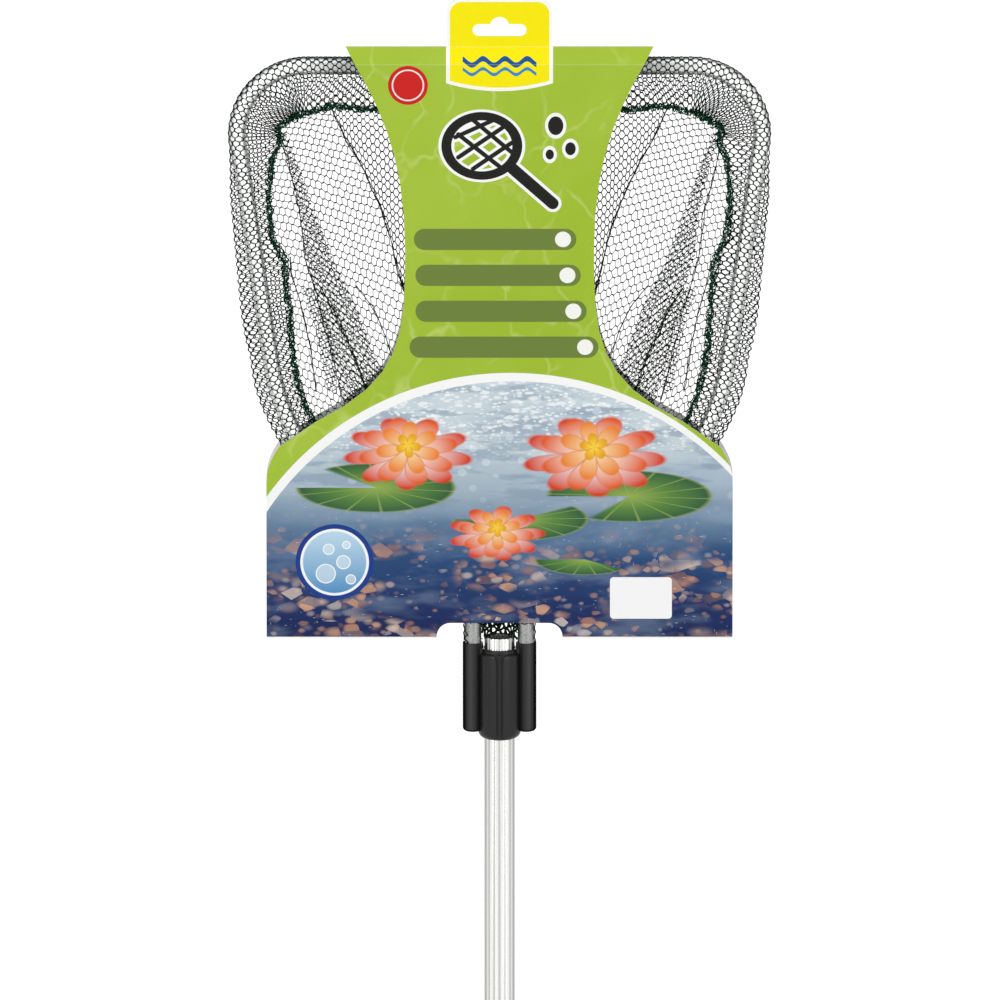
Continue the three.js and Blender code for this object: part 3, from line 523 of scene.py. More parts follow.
def on_hoop(along, inwards, y):
    """Points beside the hoop: at a distance along it from the middle of its top, and inwards."""
    x, z, nx, nz = (np.interp(along, HOOP_AT, values) for values in (*HOOP_LINE.T, *HOOP_INWARD.T))
    size = np.hypot(nx, nz)
    return np.stack([x + nx / size * inwards, np.broadcast_to(y, x.shape), z + nz / size * inwards], axis=1)


# %% [markdown]
# The tube itself is swept along that line as rings of points: an outer wall, an inner wall and two
# ends. A bevelled curve would do as well, but rings give an open tube with a real wall.

# %% The hoop's tube
TUBE_WALL = 0.001
TUBE_SIDES = 28
angle = np.arange(TUBE_SIDES) * 2 * math.pi / TUBE_SIDES
rings = []
for distance in HOOP_AT:
    for radius in (TUBE_RADIUS, TUBE_RADIUS - TUBE_WALL):
        rings.append(on_hoop(np.full(TUBE_SIDES, distance), radius * np.cos(angle), radius * np.sin(angle)))


def ring(i, inner, k):
    return (2 * i + inner) * TUBE_SIDES + k % TUBE_SIDES


faces = []
last = len(HOOP_AT) - 1
for i in range(last):
    for k in range(TUBE_SIDES):
        faces.append((ring(i, 0, k), ring(i, 0, k + 1), ring(i + 1, 0, k + 1), ring(i + 1, 0, k)))
        faces.append((ring(i, 1, k), ring(i + 1, 1, k), ring(i + 1, 1, k + 1), ring(i, 1, k + 1)))
for i in (0, last):
    for k in range(TUBE_SIDES):
        faces.append((ring(i, 0, k), ring(i, 1, k), ring(i, 1, k + 1), ring(i, 0, k + 1)))
hoop_tube = smooth(outward(mesh_object("hoop_tube", np.concatenate(rings), faces)))
dress(hoop_tube, "head", [HOOP_METAL], ["hoop"])

# %% [markdown]
# ## Netting
# Knotless netting is made of pairs of threads that twist together into short thick legs and part
# again into thin bars, so its meshes are six-sided. One function lays out such a net in the cloth's
# own flat coordinates, another bends it to its place, and a Geometry Nodes tree then turns every
# edge into a thread, thick or thin by an attribute. That keeps the drawing and the threads apart.

# %% The thread tree
def end_tree(tree, geometry, material, result):
    """What every Geometry Nodes tree here ends with: real geometry in its material."""
    real = first(tree, "GeometryNodeRealizeInstances", {"Geometry": geometry})
    painted = first(tree, "GeometryNodeSetMaterial", {"Geometry": real, "Material": material})
    put(tree, result["Mesh"], painted)


THREAD_TREE, given, result = group(
    "net_threads", "GeometryNodeTree",
    {"Net": "Geometry", "Sides": 4, "Thin": 0.0003, "Thick": 0.0005, "Thread": "Material"},
    {"Mesh": "Geometry"}
)
stout = first(THREAD_TREE, "GeometryNodeInputNamedAttribute", {"Name": "stout"})
width = mapped(THREAD_TREE, stout, 0, 1, given["Thin"], given["Thick"])
circle = first(THREAD_TREE, "GeometryNodeCurvePrimitiveCircle", {"Resolution": given["Sides"], "Radius": 1.0})
curves = first(THREAD_TREE, "GeometryNodeMeshToCurve", {"Mesh": given["Net"]})
threads = first(THREAD_TREE, "GeometryNodeCurveToMesh",
                {"Curve": curves, "Profile Curve": circle, "Fill Caps": True, "Scale": width})
end_tree(THREAD_TREE, threads, given["Thread"], result)


def with_tree(piece, tree, values):
    """Runs a Geometry Nodes tree on a piece and keeps its result as a plain mesh."""
    modifier = piece.modifiers.new("tree", "NODES")
    modifier.node_group = tree
    for item in tree.interface.items_tree:
        if item.in_out == "INPUT" and item.name in values:
            modifier[item.identifier] = values[item.name]
    return apply_modifiers(piece)


# %% [markdown]
# The lay-out: every leg has the same place in a slanted lattice. A thin bar leaves its far end for
# the near end of the next leg below, and another for the next leg above. Each edge gets its own
# pair of points, so that a thick leg and the thin bars that leave it can differ in width there.

# %% Laying out a net
def netting(reach, down_step, back_step, leg, seed, unevenness=0.05):
    """Legs and bars of a net, as pairs of points in the cloth's own flat coordinates."""
    chance = np.random.default_rng(seed)
    down_step, back_step, leg = (np.array(v, float) for v in (down_step, back_step, leg))
    area = abs(down_step[0] * back_step[1] - down_step[1] * back_step[0])
    longest = max(np.hypot(*down_step), np.hypot(*back_step))
    count = int(math.hypot(*reach) * longest / area) + 2
    i, j = np.meshgrid(np.arange(-count, count + 1), np.arange(-count, count + 1), indexing="ij")
    middle = i[..., None] * down_step + j[..., None] * back_step
    middle += chance.normal(0, unevenness * longest, middle.shape)
    half = leg / 2 + chance.normal(0, 0.12 * np.hypot(*leg), middle.shape) / 2
    near = middle - half
    far = middle + half
    legs = np.stack([near, far], axis=-2)[1:-1, 1:-1]
    down = np.stack([far[1:-1, 1:-1], near[2:, 1:-1]], axis=-2)
    up = np.stack([far[1:-1, 1:-1], near[1:-1, :-2]], axis=-2)
    pairs = np.concatenate([part.reshape(-1, 2, 2) for part in (legs, down, up)])
    stout = np.repeat([1.0, 0.0, 0.0], len(pairs) // 3)
    close = (np.abs(pairs).max(axis=1) <= np.array(reach)).all(axis=1)
    return pairs[close], stout[close]


def ripple(points, size, height, seed):
    """A slow, even wandering of the cloth, the same every time."""
    chance = np.random.default_rng(seed)
    total = np.zeros(len(points))
    for _ in range(5):
        direction = chance.normal(size=2)
        direction /= np.linalg.norm(direction)
        phase = chance.uniform(0, 2 * math.pi)
        wave = 2 * math.pi / (size * chance.uniform(0.6, 1.6))
        total += np.sin(points @ direction * wave + phase)
    return total / 5 * height


def wandering(points, first, second):
    """Flat points moved by a ripple each way, each given as (size, height, seed)."""
    return points + np.stack([ripple(points, *first), ripple(points, *second)], 1)


def in_mm(*points):
    """Points given in millimetres, as metres."""
    return np.array(points) * MM


def pairs_of(points):
    return points.reshape(-1, 2, points.shape[-1])


def beside_each(line):
    """Pairs of neighbouring points along a line."""
    return np.stack([line[:-1], line[1:]], 1)


# %% [markdown]
# A piece of net is drawn from layers, each a list of pairs of points in space and how stout each
# thread is.

# %% Net and thread materials
def thread_finish(name, colour, other, scale):
    material = finish(name, colour, 0.8, Specular_IOR_Level=0.06)
    fuzz = noise(material, place_of(material), scale)
    shade(material, Base_Color=ramp(material, fuzz, [(0.35, colour), (0.65, other)]))
    bumped(material, fuzz, 0.0001)
    return material


NET_THREAD = thread_finish("net_thread", (0.003, 0.009, 0.005), (0.008, 0.023, 0.012), 900)
SEAM_THREAD = thread_finish("seam_thread", (0.002, 0.018, 0.009), (0.007, 0.075, 0.038), 500)


def net_piece(name, layers, radii, stands_for=(), material=NET_THREAD):
    """One piece from layers of (pairs, stoutness), with threads between two radii."""
    pairs, stout = (np.concatenate(part) for part in zip(*layers))
    edges = [(2 * k, 2 * k + 1) for k in range(len(pairs))]
    piece = mesh_object(name, pairs.reshape(-1, 3), [], edges)
    marks = piece.data.attributes.new("stout", "FLOAT", "POINT")
    marks.data.foreach_set("value", np.repeat(stout, 2).astype(np.float32))
    with_tree(piece, THREAD_TREE, {"Sides": 4, "Thin": radii[0], "Thick": radii[1], "Thread": material})
    print(name, "threads", len(pairs), "faces", len(piece.data.polygons))
    return dress(piece, "head", stands_for=stands_for)


# %% [markdown]
# The hem is the net folded round the hoop and back to the seam. Across the cloth it runs from the
# seam along the front, round the tube's outer side, and back along the rear to the seam. The width
# of the fold changes along the hoop, as it was sewn by hand. Down the sides the cloth is slack and
# stands off the tube's outer side, where its section is half an ellipse. On the arms, the last
# stretch before the yoke, it is pulled back, and only its rear half and outer edge are left.

# %% The hem
NET_RADIUS = TUBE_RADIUS + 0.0006
HEM_LIP = 0.0013
HEM_END = 0.613
HEM_REACH = 0.05
ARM_TOP = YOKE_TOP + 0.0135
ARM_SIDE = COLUMN_X + 0.0038
ARM_REAR = 0.0028
DRAWN_UP_THINS = 1.1
HEM_WIDTHS = in_mm(
    (0, 30), (84, 30.3), (115, 27.8), (130, 32.2), (156, 33.4), (182, 30.9), (195, 27), (213, 28.8),
    (225, 21), (240, 16.8), (256, 14.3), (279, 13), (286, 15.8), (300, 18.7), (327, 17.6), (357, 15.2),
    (409, 14.6), (520, 14), (577, 10.5), (640, 9.7)
)
HEM_SLACKS = in_mm(
    (0, 0), (212, 0), (227, 1.7), (246, 4.5), (285, 6.7), (325, 9), (344, 9), (358, 7.4), (382, 7.9),
    (410, 6.2), (460, 5), (520, 3), (577, 1), (601, 0)
)


def hem_width(along):
    """How far inside the hoop's centreline the seam runs."""
    return np.interp(np.abs(along), *HEM_WIDTHS.T)


def slack_side(reach, slack):
    """The angle round the hem's outer side at a distance from its tip, and how long that side is."""
    turns = np.linspace(math.pi, math.pi / 2, 25)
    speed = np.hypot((NET_RADIUS + slack)[:, None] * np.sin(turns), NET_RADIUS * np.cos(turns))
    steps = (speed[:, 1:] + speed[:, :-1]) / 2 * (math.pi / 2 / 24)
    lengths = np.concatenate([np.zeros((len(slack), 1)), np.cumsum(steps, axis=1)], axis=1)
    k = np.clip((lengths < reach[:, None]).sum(axis=1), 1, 24)
    row = np.arange(len(slack))
    part = (reach - lengths[row, k - 1]) / (lengths[row, k] - lengths[row, k - 1])
    return turns[k - 1] + (turns[k] - turns[k - 1]) * np.clip(part, 0, 1), lengths[:, -1]


def hem_surface(along, across):
    """Bends the hem: across is measured round the fold from its outermost line."""
    width = hem_width(along)
    slack = np.interp(np.abs(along), *HEM_SLACKS.T)
    leave = np.arccos(np.clip(NET_RADIUS / width, 0, 1))
    reach = np.abs(across)
    outer_turn, outer = slack_side(reach, slack)
    arc = outer + NET_RADIUS * (math.pi / 2 - leave)
    start_in = NET_RADIUS * np.cos(leave)
    start_out = NET_RADIUS * np.sin(leave)
    flat = np.hypot(width - start_in, start_out - HEM_LIP)
    turn = np.where(reach < outer, outer_turn, math.pi / 2 - (np.minimum(reach, arc) - outer) / NET_RADIUS)
    share = np.clip((reach - arc) / flat, 0, 1)
    round_in = (NET_RADIUS + np.where(reach < outer, slack, 0)) * np.cos(turn)
    inwards = np.where(reach < arc, round_in, start_in + share * (width - start_in))
    height = np.where(reach < arc, NET_RADIUS * np.sin(turn), start_out + share * (HEM_LIP - start_out))
    loose = np.sin(share * math.pi) * ripple(np.stack([along, across], 1), 0.03, 0.0014, 5)
    return on_hoop(along, inwards, np.sign(across) * (height + loose)), reach <= arc + flat


pairs, stout = netting((HEM_END, HEM_REACH), (0.0030, 0.0028), (-0.0030, 0.0028), (0.0017, 0.0), 11)
cloth = wandering(pairs.reshape(-1, 2), (0.05, 0.0014, 21), (0.06, 0.0011, 22))
bent, covered = hem_surface(*cloth.T)
on_arm = (bent[:, 2] < ARM_TOP) & (np.abs(bent[:, 0]) < ARM_SIDE)
bare_arm = on_arm & (bent[:, 1] < ARM_REAR)
whole = (covered & ~bare_arm).reshape(-1, 2).all(axis=1)
drawn_up, laid_out = (
    np.linalg.norm(np.diff(pairs_of(part), axis=1)[:, 0], axis=1) for part in (bent, cloth)
)
stout = stout - DRAWN_UP_THINS * np.clip(1 - drawn_up / laid_out, 0, 0.5)
net_piece("net_hem_threads", [(pairs_of(bent)[whole], stout[whole])], (0.00031, 0.0005), ["net_hem"])

# %% [markdown]
# ## The bag
# The bag is folded flat behind the hoop. One layer of net spans the whole mouth; on each side a
# pleat leaves the seam's corner and runs down, and below it several layers lie on each other in a
# dense band. Each layer is laid out flat, cut to its outline, and given its own depth behind the
# hoop, rising to meet the seam.

# %% The outline of the mouth
seam_along = np.linspace(-0.6225, 0.6225, 900)
MOUTH = on_hoop(seam_along, hem_width(seam_along), 0.0)[:, [0, 2]]
BAG_DEPTH = 0.0088
BAG_RISE = 0.016


def inside_outline(points, outline):
    """Which points lie inside a closed outline, by counting the edges that each point looks across."""
    crossings = np.zeros(len(points), int)
    for (x1, z1), (x2, z2) in zip(outline, np.roll(outline, -1, axis=0)):
        if z1 != z2:
            spans = (points[:, 1] < z1) != (points[:, 1] < z2)
            crossings += spans & (points[:, 0] < x1 + (points[:, 1] - z1) * (x2 - x1) / (z2 - z1))
    return crossings % 2 == 1


def distance_to(points, line):
    """How far each point is from the nearest point of a finely stepped line."""
    nearest = np.full(len(points), 9.0)
    for step in line:
        nearest = np.minimum(nearest, np.hypot(*(points - step).T))
    return nearest


def lay_net(outline, depth, steps, leg, seed, bend, wander=0.0012):
    """A flat layer of net cut to an outline, bent in its plane, and risen to meet the seam."""
    outline = np.asarray(outline)
    centre = (outline.min(axis=0) + outline.max(axis=0)) / 2
    reach = (outline.max(axis=0) - outline.min(axis=0)) / 2 + 0.03
    pairs, stout = netting(reach, *steps, leg, seed)
    flat = wandering(pairs.reshape(-1, 2), (0.07, wander, seed + 1), (0.08, wander, seed + 2))
    x, z, sink = bend(*(centre + flat).T)
    placed = pairs_of(np.stack([x, z], 1))
    middle = placed.mean(axis=1)
    keep = inside_outline(middle, outline) & inside_outline(middle, MOUTH)
    placed = placed[keep].reshape(-1, 2)
    rise = np.clip(distance_to(placed, MOUTH[::3]) / BAG_RISE, 0, 1)
    rise = rise * rise * (3 - 2 * rise)
    y = (depth + sink.reshape(-1, 2)[keep].reshape(-1)) * rise + ripple(placed, 0.05, 0.0005, seed + 3)
    return pairs_of(np.stack([placed[:, 0], y, placed[:, 1]], 1)), stout[keep]


# %% [markdown]
# The pleats are read from the photograph as lines in millimetres, on the left. Left and right are
# laid out separately, so that the rows of each side run down towards the middle.

# %% The bag's back layer
PLEAT = in_mm(
    (-115, -62), (-105, -85), (-96, -100), (-88, -117), (-81, -134), (-75.5, -150), (-67, -184),
    (-58, -215), (-48, -260), (-36, -320), (-26, -372)
)
BAND_OUTER = in_mm(
    (-149, -80), (-142, -108), (-136, -132), (-132, -168), (-122, -203), (-113.5, -239), (-106, -268),
    (-84, -330), (-50, -372)
)
BAND_INNER = in_mm(
    (-145, -80), (-135, -108), (-127, -132), (-114, -168), (-97, -203), (-84, -239), (-68, -268),
    (-40, -330), (-22, -372)
)
OUTER_BAG = np.concatenate([[(-0.19, -0.03), (-0.118, -0.03)], PLEAT, [(-0.026, -0.378), (-0.19, -0.378)]])
INNER_BAG = np.concatenate([[(0.0, -0.03), (-0.118, -0.03)], PLEAT, [(-0.026, -0.378), (0.0, -0.378)]])


def across(outline, side):
    """An outline drawn on the left, for that side or the other."""
    return np.asarray(outline) * (-side, 1)


def sagging(side):
    """The outer cloth hangs towards the middle, the more so the lower it lies."""

    def bend(x, z):
        hang = np.interp(-z, (0.06, 0.12, 0.25), (0.02, 0.12, 0.45))
        return x, z - hang * (x * -side + 0.15), 0 * x

    return bend


def squeezed(side):
    """Beside the pleat the inner cloth curves away, which narrows its meshes as seen from the front."""

    def bend(x, z):
        pleat = np.interp(-z, -PLEAT[:, 1], PLEAT[:, 0])
        off = np.maximum(x * -side - pleat, -0.004)
        near = np.exp(-off / 0.009)
        return (pleat + off - 0.0036 * (1 - near)) * -side, z, 0.0012 * near

    return bend


def both_sides(rows):
    """Layers of net laid out on the left and on the right, from rows that hold for the right."""
    layers = []
    for side in (-1, 1):
        for outline, depth, steps, seed, bend, least, more in rows:
            down, back, leg = np.array(steps) * (side, 1)
            pairs, stout = lay_net(across(outline, side), depth, (down, back), leg, seed + side, bend(side))
            layers.append((pairs, least + more * stout))
    return layers


# Outline, depth, the net's steps down and back and its leg, seed, bend, how stout its bars are, and
# how much stouter its legs
OUTER_STEPS = ((-0.00387, -0.0007), (0.0017, -0.00454), (-0.0015, 0.0007))
INNER_STEPS = ((-0.00292, -0.00286), (0.00292, -0.00286), (-0.0016, 0.0))
BAG_NET = (
    (OUTER_BAG, BAG_DEPTH, OUTER_STEPS, 31, sagging, 0.0, 0.85),
    (INNER_BAG, 0.0078, INNER_STEPS, 41, squeezed, 0.35, 0.7),
)
net_piece("bag_net", both_sides(BAG_NET), (0.00024, 0.0005), ["net_bag_back", "net_bag_wall"])

# %% [markdown]
# The dense band on each side is two more layers, bunched so that their meshes are narrower, and
# each at its own depth. Below it another bunched layer fills the fan between band and seam.

# %% The bunched layers
FAN = in_mm(
    (-134, -190), (-126, -215), (-121, -240), (-117, -262), (-110, -262), (-112, -235), (-118, -210),
    (-127, -190)
)
BAND = np.concatenate([BAND_OUTER, BAND_INNER[::-1]])
BUNCHED = (
    (BAND, 0.0072, in_mm((-3.1, -1.2), (1.5, -3.3), (-1.3, 0.6)), 51, sagging, 0, 1),
    (BAND, 0.0058, in_mm((-2.4, 1.9), (2.9, 1.7), (-0.9, -1.0)), 58, sagging, 0, 1),
    (FAN, 0.0070, in_mm((-1.9, 1.5), (1.2, 2.0), (-1.1, 0.9)), 65, sagging, 0, 1),
)
net_piece("bag_folds", both_sides(BUNCHED), (0.00019, 0.00042))


# %% [markdown]
# A pleat's edge is where the net turns back on itself, so its threads lie side by side and read as
# one dark line. Each is drawn as a few strands that wander round the line.

# %% Pleat lines
def sway(chance, spread, count):
    """A loose thread's distance from its line, step by step."""
    return np.convolve(chance.normal(0, spread, count + 4), np.ones(5) / 5, "valid")


def strands(line, depth, count, spread, seed, step=0.0022):
    """A few threads that wander along a line in the net's plane, as pairs of points."""
    run = np.concatenate([[0], np.cumsum(np.hypot(*np.diff(line, axis=0).T))])
    at = np.linspace(0, run[-1], max(2, int(run[-1] / step)))
    x, z = (np.interp(at, run, part) for part in line.T)
    chance = np.random.default_rng(seed)
    pairs = []
    for _ in range(count):
        aside = sway(chance, spread, len(at)) * 1.6
        sink = sway(chance, spread * 0.5, len(at))
        pairs.append(beside_each(np.stack([x + aside, depth + sink, z + aside * 0.3], 1)))
    pairs = np.concatenate(pairs)
    return pairs, np.ones(len(pairs))


PLEAT_LINES = (
    (PLEAT, 0.0062, 3, 0.0006),
    (PLEAT[6:], 0.006, 4, 0.0011),
    (in_mm((-142, -168), (-141, -181), (-133.5, -207), (-128.7, -229), (-124, -262)), 0.005, 2, 0.0005),
    (in_mm((-121, -190), (-111.5, -207), (-99.5, -235), (-93, -254), (-80, -290)), 0.0045, 4, 0.001),
    (in_mm((-98, -188), (-86, -203), (-78, -222), (-66, -255)), 0.0045, 2, 0.0005),
    (BAND_OUTER[2:7], 0.0045, 2, 0.0007),
    (BAND_OUTER[:3], 0.003, 2, 0.0008),
)
pleat_layers = []
for k, (line, *how) in enumerate(PLEAT_LINES):
    pleat_layers.append(strands(line, *how, 91 + k))
    pleat_layers.append(strands(across(line, 1) + (0.0006 * k, 0), *how, 191 + k))
net_piece("bag_pleats", pleat_layers, (0.0003, 0.0003))

# %% [markdown]
# Between the arms the bag's end is gathered into a thick bunch just above the yoke. It is the same
# net again, squeezed to small meshes, in layers that bulge over each other.

# %% The gathered end
GATHER = in_mm(
    (-20, -352), (20, -352), (15, -400), (12.6, -424), (10.5, -432.5), (0, -428.5), (-10.5, -432.5),
    (-12.6, -424), (-15, -400)
)
GATHER_TURNS = (-9, 21)
GATHER_HEIGHT = -0.392
GATHER_REACH = (0.055, 0.055)
gather_layers = []
for k, degrees in enumerate(GATHER_TURNS):
    turn = math.radians(degrees)
    pairs, stout = netting(GATHER_REACH, (0.0031, -0.0034), (-0.0031, -0.0034), (0.0014, 0.0), 71 + k)
    flat = wandering(pairs.reshape(-1, 2), (0.02, 0.0012, 81 + k), (0.02, 0.0012, 85 + k))
    x = flat[:, 0] * math.cos(turn) + flat[:, 1] * math.sin(turn)
    z = GATHER_HEIGHT + flat[:, 1] * math.cos(turn) - flat[:, 0] * math.sin(turn)
    y = -0.002 + 0.0032 * k + 0.0015 * np.cos(x / 0.006) + ripple(flat, 0.012, 0.001, 89 + k)
    keep = inside_outline(pairs_of(np.stack([x, z], 1)).mean(axis=1), GATHER)
    gather_layers.append((pairs_of(np.stack([x, y, z], 1))[keep], stout[keep]))
net_piece("bag_gather", gather_layers, (0.0008, 0.0011))

# %% [markdown]
# ## The seam
# The hem is closed with a dark green overlock seam: a few cords along the fold, and short stitches
# that loop over them again and again. The cords are strands as above. The stitches repeat along a
# path, which is Geometry Nodes' work: resample the seam's line, put a bent stitch at every point,
# turn it to the line and tip each one by its own chance angle.

# %% The seam's cords
CORD_RADIUS = 0.00042
seam_at = np.arange(-0.597, 0.5971, 0.0014)
cords = []
chance = np.random.default_rng(5)
looseness = np.interp(np.abs(seam_at), (0.12, 0.17, 0.36, 0.45), (1.0, 1.25, 1.25, 1.0))
for k in range(5):
    aside = sway(chance, 0.0016, len(seam_at)) * 1.5 * looseness
    lift = sway(chance, 0.0008, len(seam_at)) * 1.5
    pairs = beside_each(on_hoop(seam_at, hem_width(seam_at) + aside, lift + 0.0009 * math.cos(k * 2.5)))
    cords.append((pairs, np.ones(len(pairs))))
net_piece("seam_cords", cords, (CORD_RADIUS, CORD_RADIUS), ["hem_seam"], SEAM_THREAD)

# %% The stitch tree
STITCHES, given, result = group(
    "seam_stitches", "GeometryNodeTree",
    {"Path": "Geometry", "Spacing": 0.0016, "Length": 0.004, "Thickness": 0.0004, "Tilt": 0.6, "Seed": 3,
     "Thread": "Material"},
    {"Mesh": "Geometry"}
)
OVAL = (0.62, 1.0, 0.62)
path = first(STITCHES, "GeometryNodeMeshToCurve", {"Mesh": given["Path"]})
spaced = add(STITCHES, "GeometryNodeCurveToPoints", {"Curve": path, "Length": given["Spacing"]},
             mode="LENGTH")
half = maths(STITCHES, "MULTIPLY", given["Length"], 0.5)
circle = first(STITCHES, "GeometryNodeCurvePrimitiveCircle", {"Resolution": 8, "Radius": half})
oval = vector(STITCHES, "MULTIPLY", first(STITCHES, "GeometryNodeInputPosition"), OVAL)[0]
flat = first(STITCHES, "GeometryNodeSetPosition", {"Geometry": circle, "Position": oval})
thread = first(STITCHES, "GeometryNodeCurvePrimitiveCircle", {"Resolution": 3, "Radius": given["Thickness"]})
loop = first(STITCHES, "GeometryNodeCurveToMesh", {"Curve": flat, "Profile Curve": thread})
tilts = (maths(STITCHES, "MULTIPLY", given["Tilt"], sign) for sign in (-1, 1))
least, most = (first(STITCHES, "ShaderNodeCombineXYZ", {"X": tilt, "Y": tilt}) for tilt in tilts)
tip = first(STITCHES, "FunctionNodeRandomValue", {"Min": least, "Max": most, "Seed": given["Seed"]},
            data_type="FLOAT_VECTOR")
spin = first(STITCHES, "FunctionNodeRotateRotation",
             {"Rotation": spaced.outputs["Rotation"], "Rotate By": tip}, rotation_space="LOCAL")
size = add(STITCHES, "FunctionNodeRandomValue", {2: 0.7, 3: 1.2, "Seed": given["Seed"]}, data_type="FLOAT")
repeat = first(STITCHES, "GeometryNodeInstanceOnPoints", {
    "Points": spaced.outputs["Points"], "Instance": loop, "Rotation": spin, "Scale": size.outputs[1]})
end_tree(STITCHES, repeat, given["Thread"], result)

seam_points = on_hoop(seam_at, hem_width(seam_at), 0.0)
seam_edges = [(k, k + 1) for k in range(len(seam_points) - 1)]
seam_stitches = with_tree(
    mesh_object("seam_stitches", seam_points, [], seam_edges), STITCHES,
    {"Spacing": 0.0012, "Length": 0.0052, "Thickness": 0.00034, "Tilt": 0.9, "Seed": 3,
     "Thread": SEAM_THREAD}
)
dress(seam_stitches, "head")
print("stitch faces", len(seam_stitches.data.polygons))

# %% [markdown]
# ## The yoke
# The yoke is one black moulding: a barrel that grips the handle, a sleeve on each side that takes an
# arm of the hoop, and a collar at the top. It is put together from turned solids with booleans, as a
# mould is cut, and then every edge gets a small bevel, because no moulded edge is sharp.

# %% Solids and booleans
def prism(name, outline, front, back):
    """A closed solid from an outline of (x, z), between two depths."""
    count = len(outline)
    points = [(x, y, z) for y in (front, back) for x, z in outline]
    faces = [tuple(range(count)), tuple(range(2 * count - 1, count - 1, -1))]
    faces += [(k, k + count, (k + 1) % count + count, (k + 1) % count) for k in range(count)]
    return outward(mesh_object(name, points, faces))


def drum(name, radius, low, high, sides):
    return revolve(name, [(0, low), (radius, low), (radius, high), (0, high)], sides)


def combine(piece, tool, operation):
    modifier = piece.modifiers.new("combine", "BOOLEAN")
    modifier.operation = operation
    modifier.solver = "EXACT"
    modifier.object = tool
    apply_modifiers(piece)
    mesh = tool.data
    bpy.data.objects.remove(tool)
    bpy.data.meshes.remove(mesh)
    return piece


def soften(piece, width, degrees=38):
    modifier = piece.modifiers.new("soften", "BEVEL")
    modifier.width = width
    modifier.segments = 2
    modifier.limit_method = "ANGLE"
    modifier.angle_limit = math.radians(degrees)
    return smooth(apply_modifiers(piece), degrees)


def shifted(piece, x, y=0.0, z=0.0):
    piece.data.transform(Matrix.Translation((x, y, z)))
    return piece


# %% The yoke's moulding
CLEARANCE = 0.0003
YOKE_BOTTOM = yoke_low[2]
BARREL_RADIUS = -yoke_low[1]
COLUMN_RADIUS = yoke_high[0] - COLUMN_X
COLUMN_BOTTOM = YOKE_BOTTOM + 0.0047
COLLAR_TOP = YOKE_TOP - 0.0037
BARREL_TOP = COLLAR_TOP - 0.0024
OUTER_TUBE_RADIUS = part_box("outer_tube")[1][0]
BARREL_BORE = OUTER_TUBE_RADIUS + CLEARANCE
COLUMN_BORE = TUBE_RADIUS + CLEARANCE
BOSS_RADIUS = 0.0044
SCREW_HOLE_RADIUS = 0.0017
BEYOND = 0.01

yoke = revolve(
    "yoke_moulding",
    [(0, YOKE_BOTTOM), *round_edge(BARREL_RADIUS - 0.005, YOKE_BOTTOM + 0.005, 0.005, -90, 0),
     (BARREL_RADIUS, BARREL_TOP - 0.0024),
     *round_edge(BARREL_RADIUS - 0.0022, BARREL_TOP - 0.0022, 0.0022, 12, 90, 4), (0, BARREL_TOP)],
    72,
)
collar = [(0, BARREL_TOP - 0.001), (BARREL_BORE + 0.0019, BARREL_TOP - 0.001),
          *round_edge(BARREL_BORE + 0.0010, COLLAR_TOP - 0.0009, 0.0009, 0, 90, 3), (0, COLLAR_TOP)]
combine(yoke, revolve("collar", collar, 72), "UNION")
sleeve = [(0, COLUMN_BOTTOM), *round_edge(COLUMN_RADIUS - 0.0026, COLUMN_BOTTOM + 0.0026, 0.0026, -90, 0),
          (COLUMN_RADIUS, YOKE_TOP), (0, YOKE_TOP)]
scoop = [(COLUMN_X - 0.0078 * math.sin(a), YOKE_TOP - 0.0028 - 0.0016 * (1 - math.cos(a)))
         for a in map(math.radians, (0, 30, 60, 90))]
horn = [(BARREL_BORE + 0.0010, BARREL_TOP - 0.002), (COLUMN_X, BARREL_TOP - 0.002), *scoop,
        (BARREL_BORE + 0.0010, COLLAR_TOP)]
for side in (-1, 1):
    combine(yoke, shifted(revolve("sleeve", sleeve, 48), side * COLUMN_X), "UNION")
    combine(yoke, prism("horn", [(side * x, z) for x, z in horn], -0.0052, 0.0052), "UNION")
for screw, surface in (("hoop_screw_left", COLUMN_RADIUS), ("hoop_screw_right", COLUMN_RADIUS),
                       ("handle_screw", BARREL_RADIUS)):
    x, _, z = (Vector(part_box(screw)[0]) + Vector(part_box(screw)[1])) / 2
    for tool, operation in ((drum("boss", BOSS_RADIUS, 0, surface + 0.0014, 32), "UNION"),
                            (drum("hole", SCREW_HOLE_RADIUS, 0, surface + BEYOND, 20), "DIFFERENCE")):
        tool.data.transform(Matrix.Rotation(-math.pi / 2, 4, "X"))
        combine(yoke, shifted(tool, x, 0, z), operation)
combine(yoke, drum("bore", BARREL_BORE, YOKE_BOTTOM - BEYOND, YOKE_TOP + BEYOND, 72), "DIFFERENCE")
for side in (-1, 1):
    bore = drum("bore", COLUMN_BORE, COLUMN_BOTTOM + 0.008, YOKE_TOP + BEYOND, 40)
    combine(yoke, shifted(bore, side * COLUMN_X), "DIFFERENCE")

# %% [markdown]
# Two long pads with rounded ends stand on the barrel's front, with a channel between them and a
# rib down its middle. The channel is one cut whose mouth flares at both ends, and the rib is what
# the cut leaves.

# %% The channel
CHANNEL_HALF = 0.0023
CHANNEL_DEPTH = 0.0021
RIB_HALF = 0.0008


def channel_outline(top, bottom, half, flare):
    rounding = [math.radians(90 * k / 5) for k in range(6)]
    corner = [(half + flare * (1 - math.sin(a)), flare * (1 - math.cos(a)) * 1.9) for a in rounding]
    side = [(x, top - z) for x, z in corner] + [(x, bottom + z) for x, z in reversed(corner)]
    return side + [(-x, z) for x, z in reversed(side)]


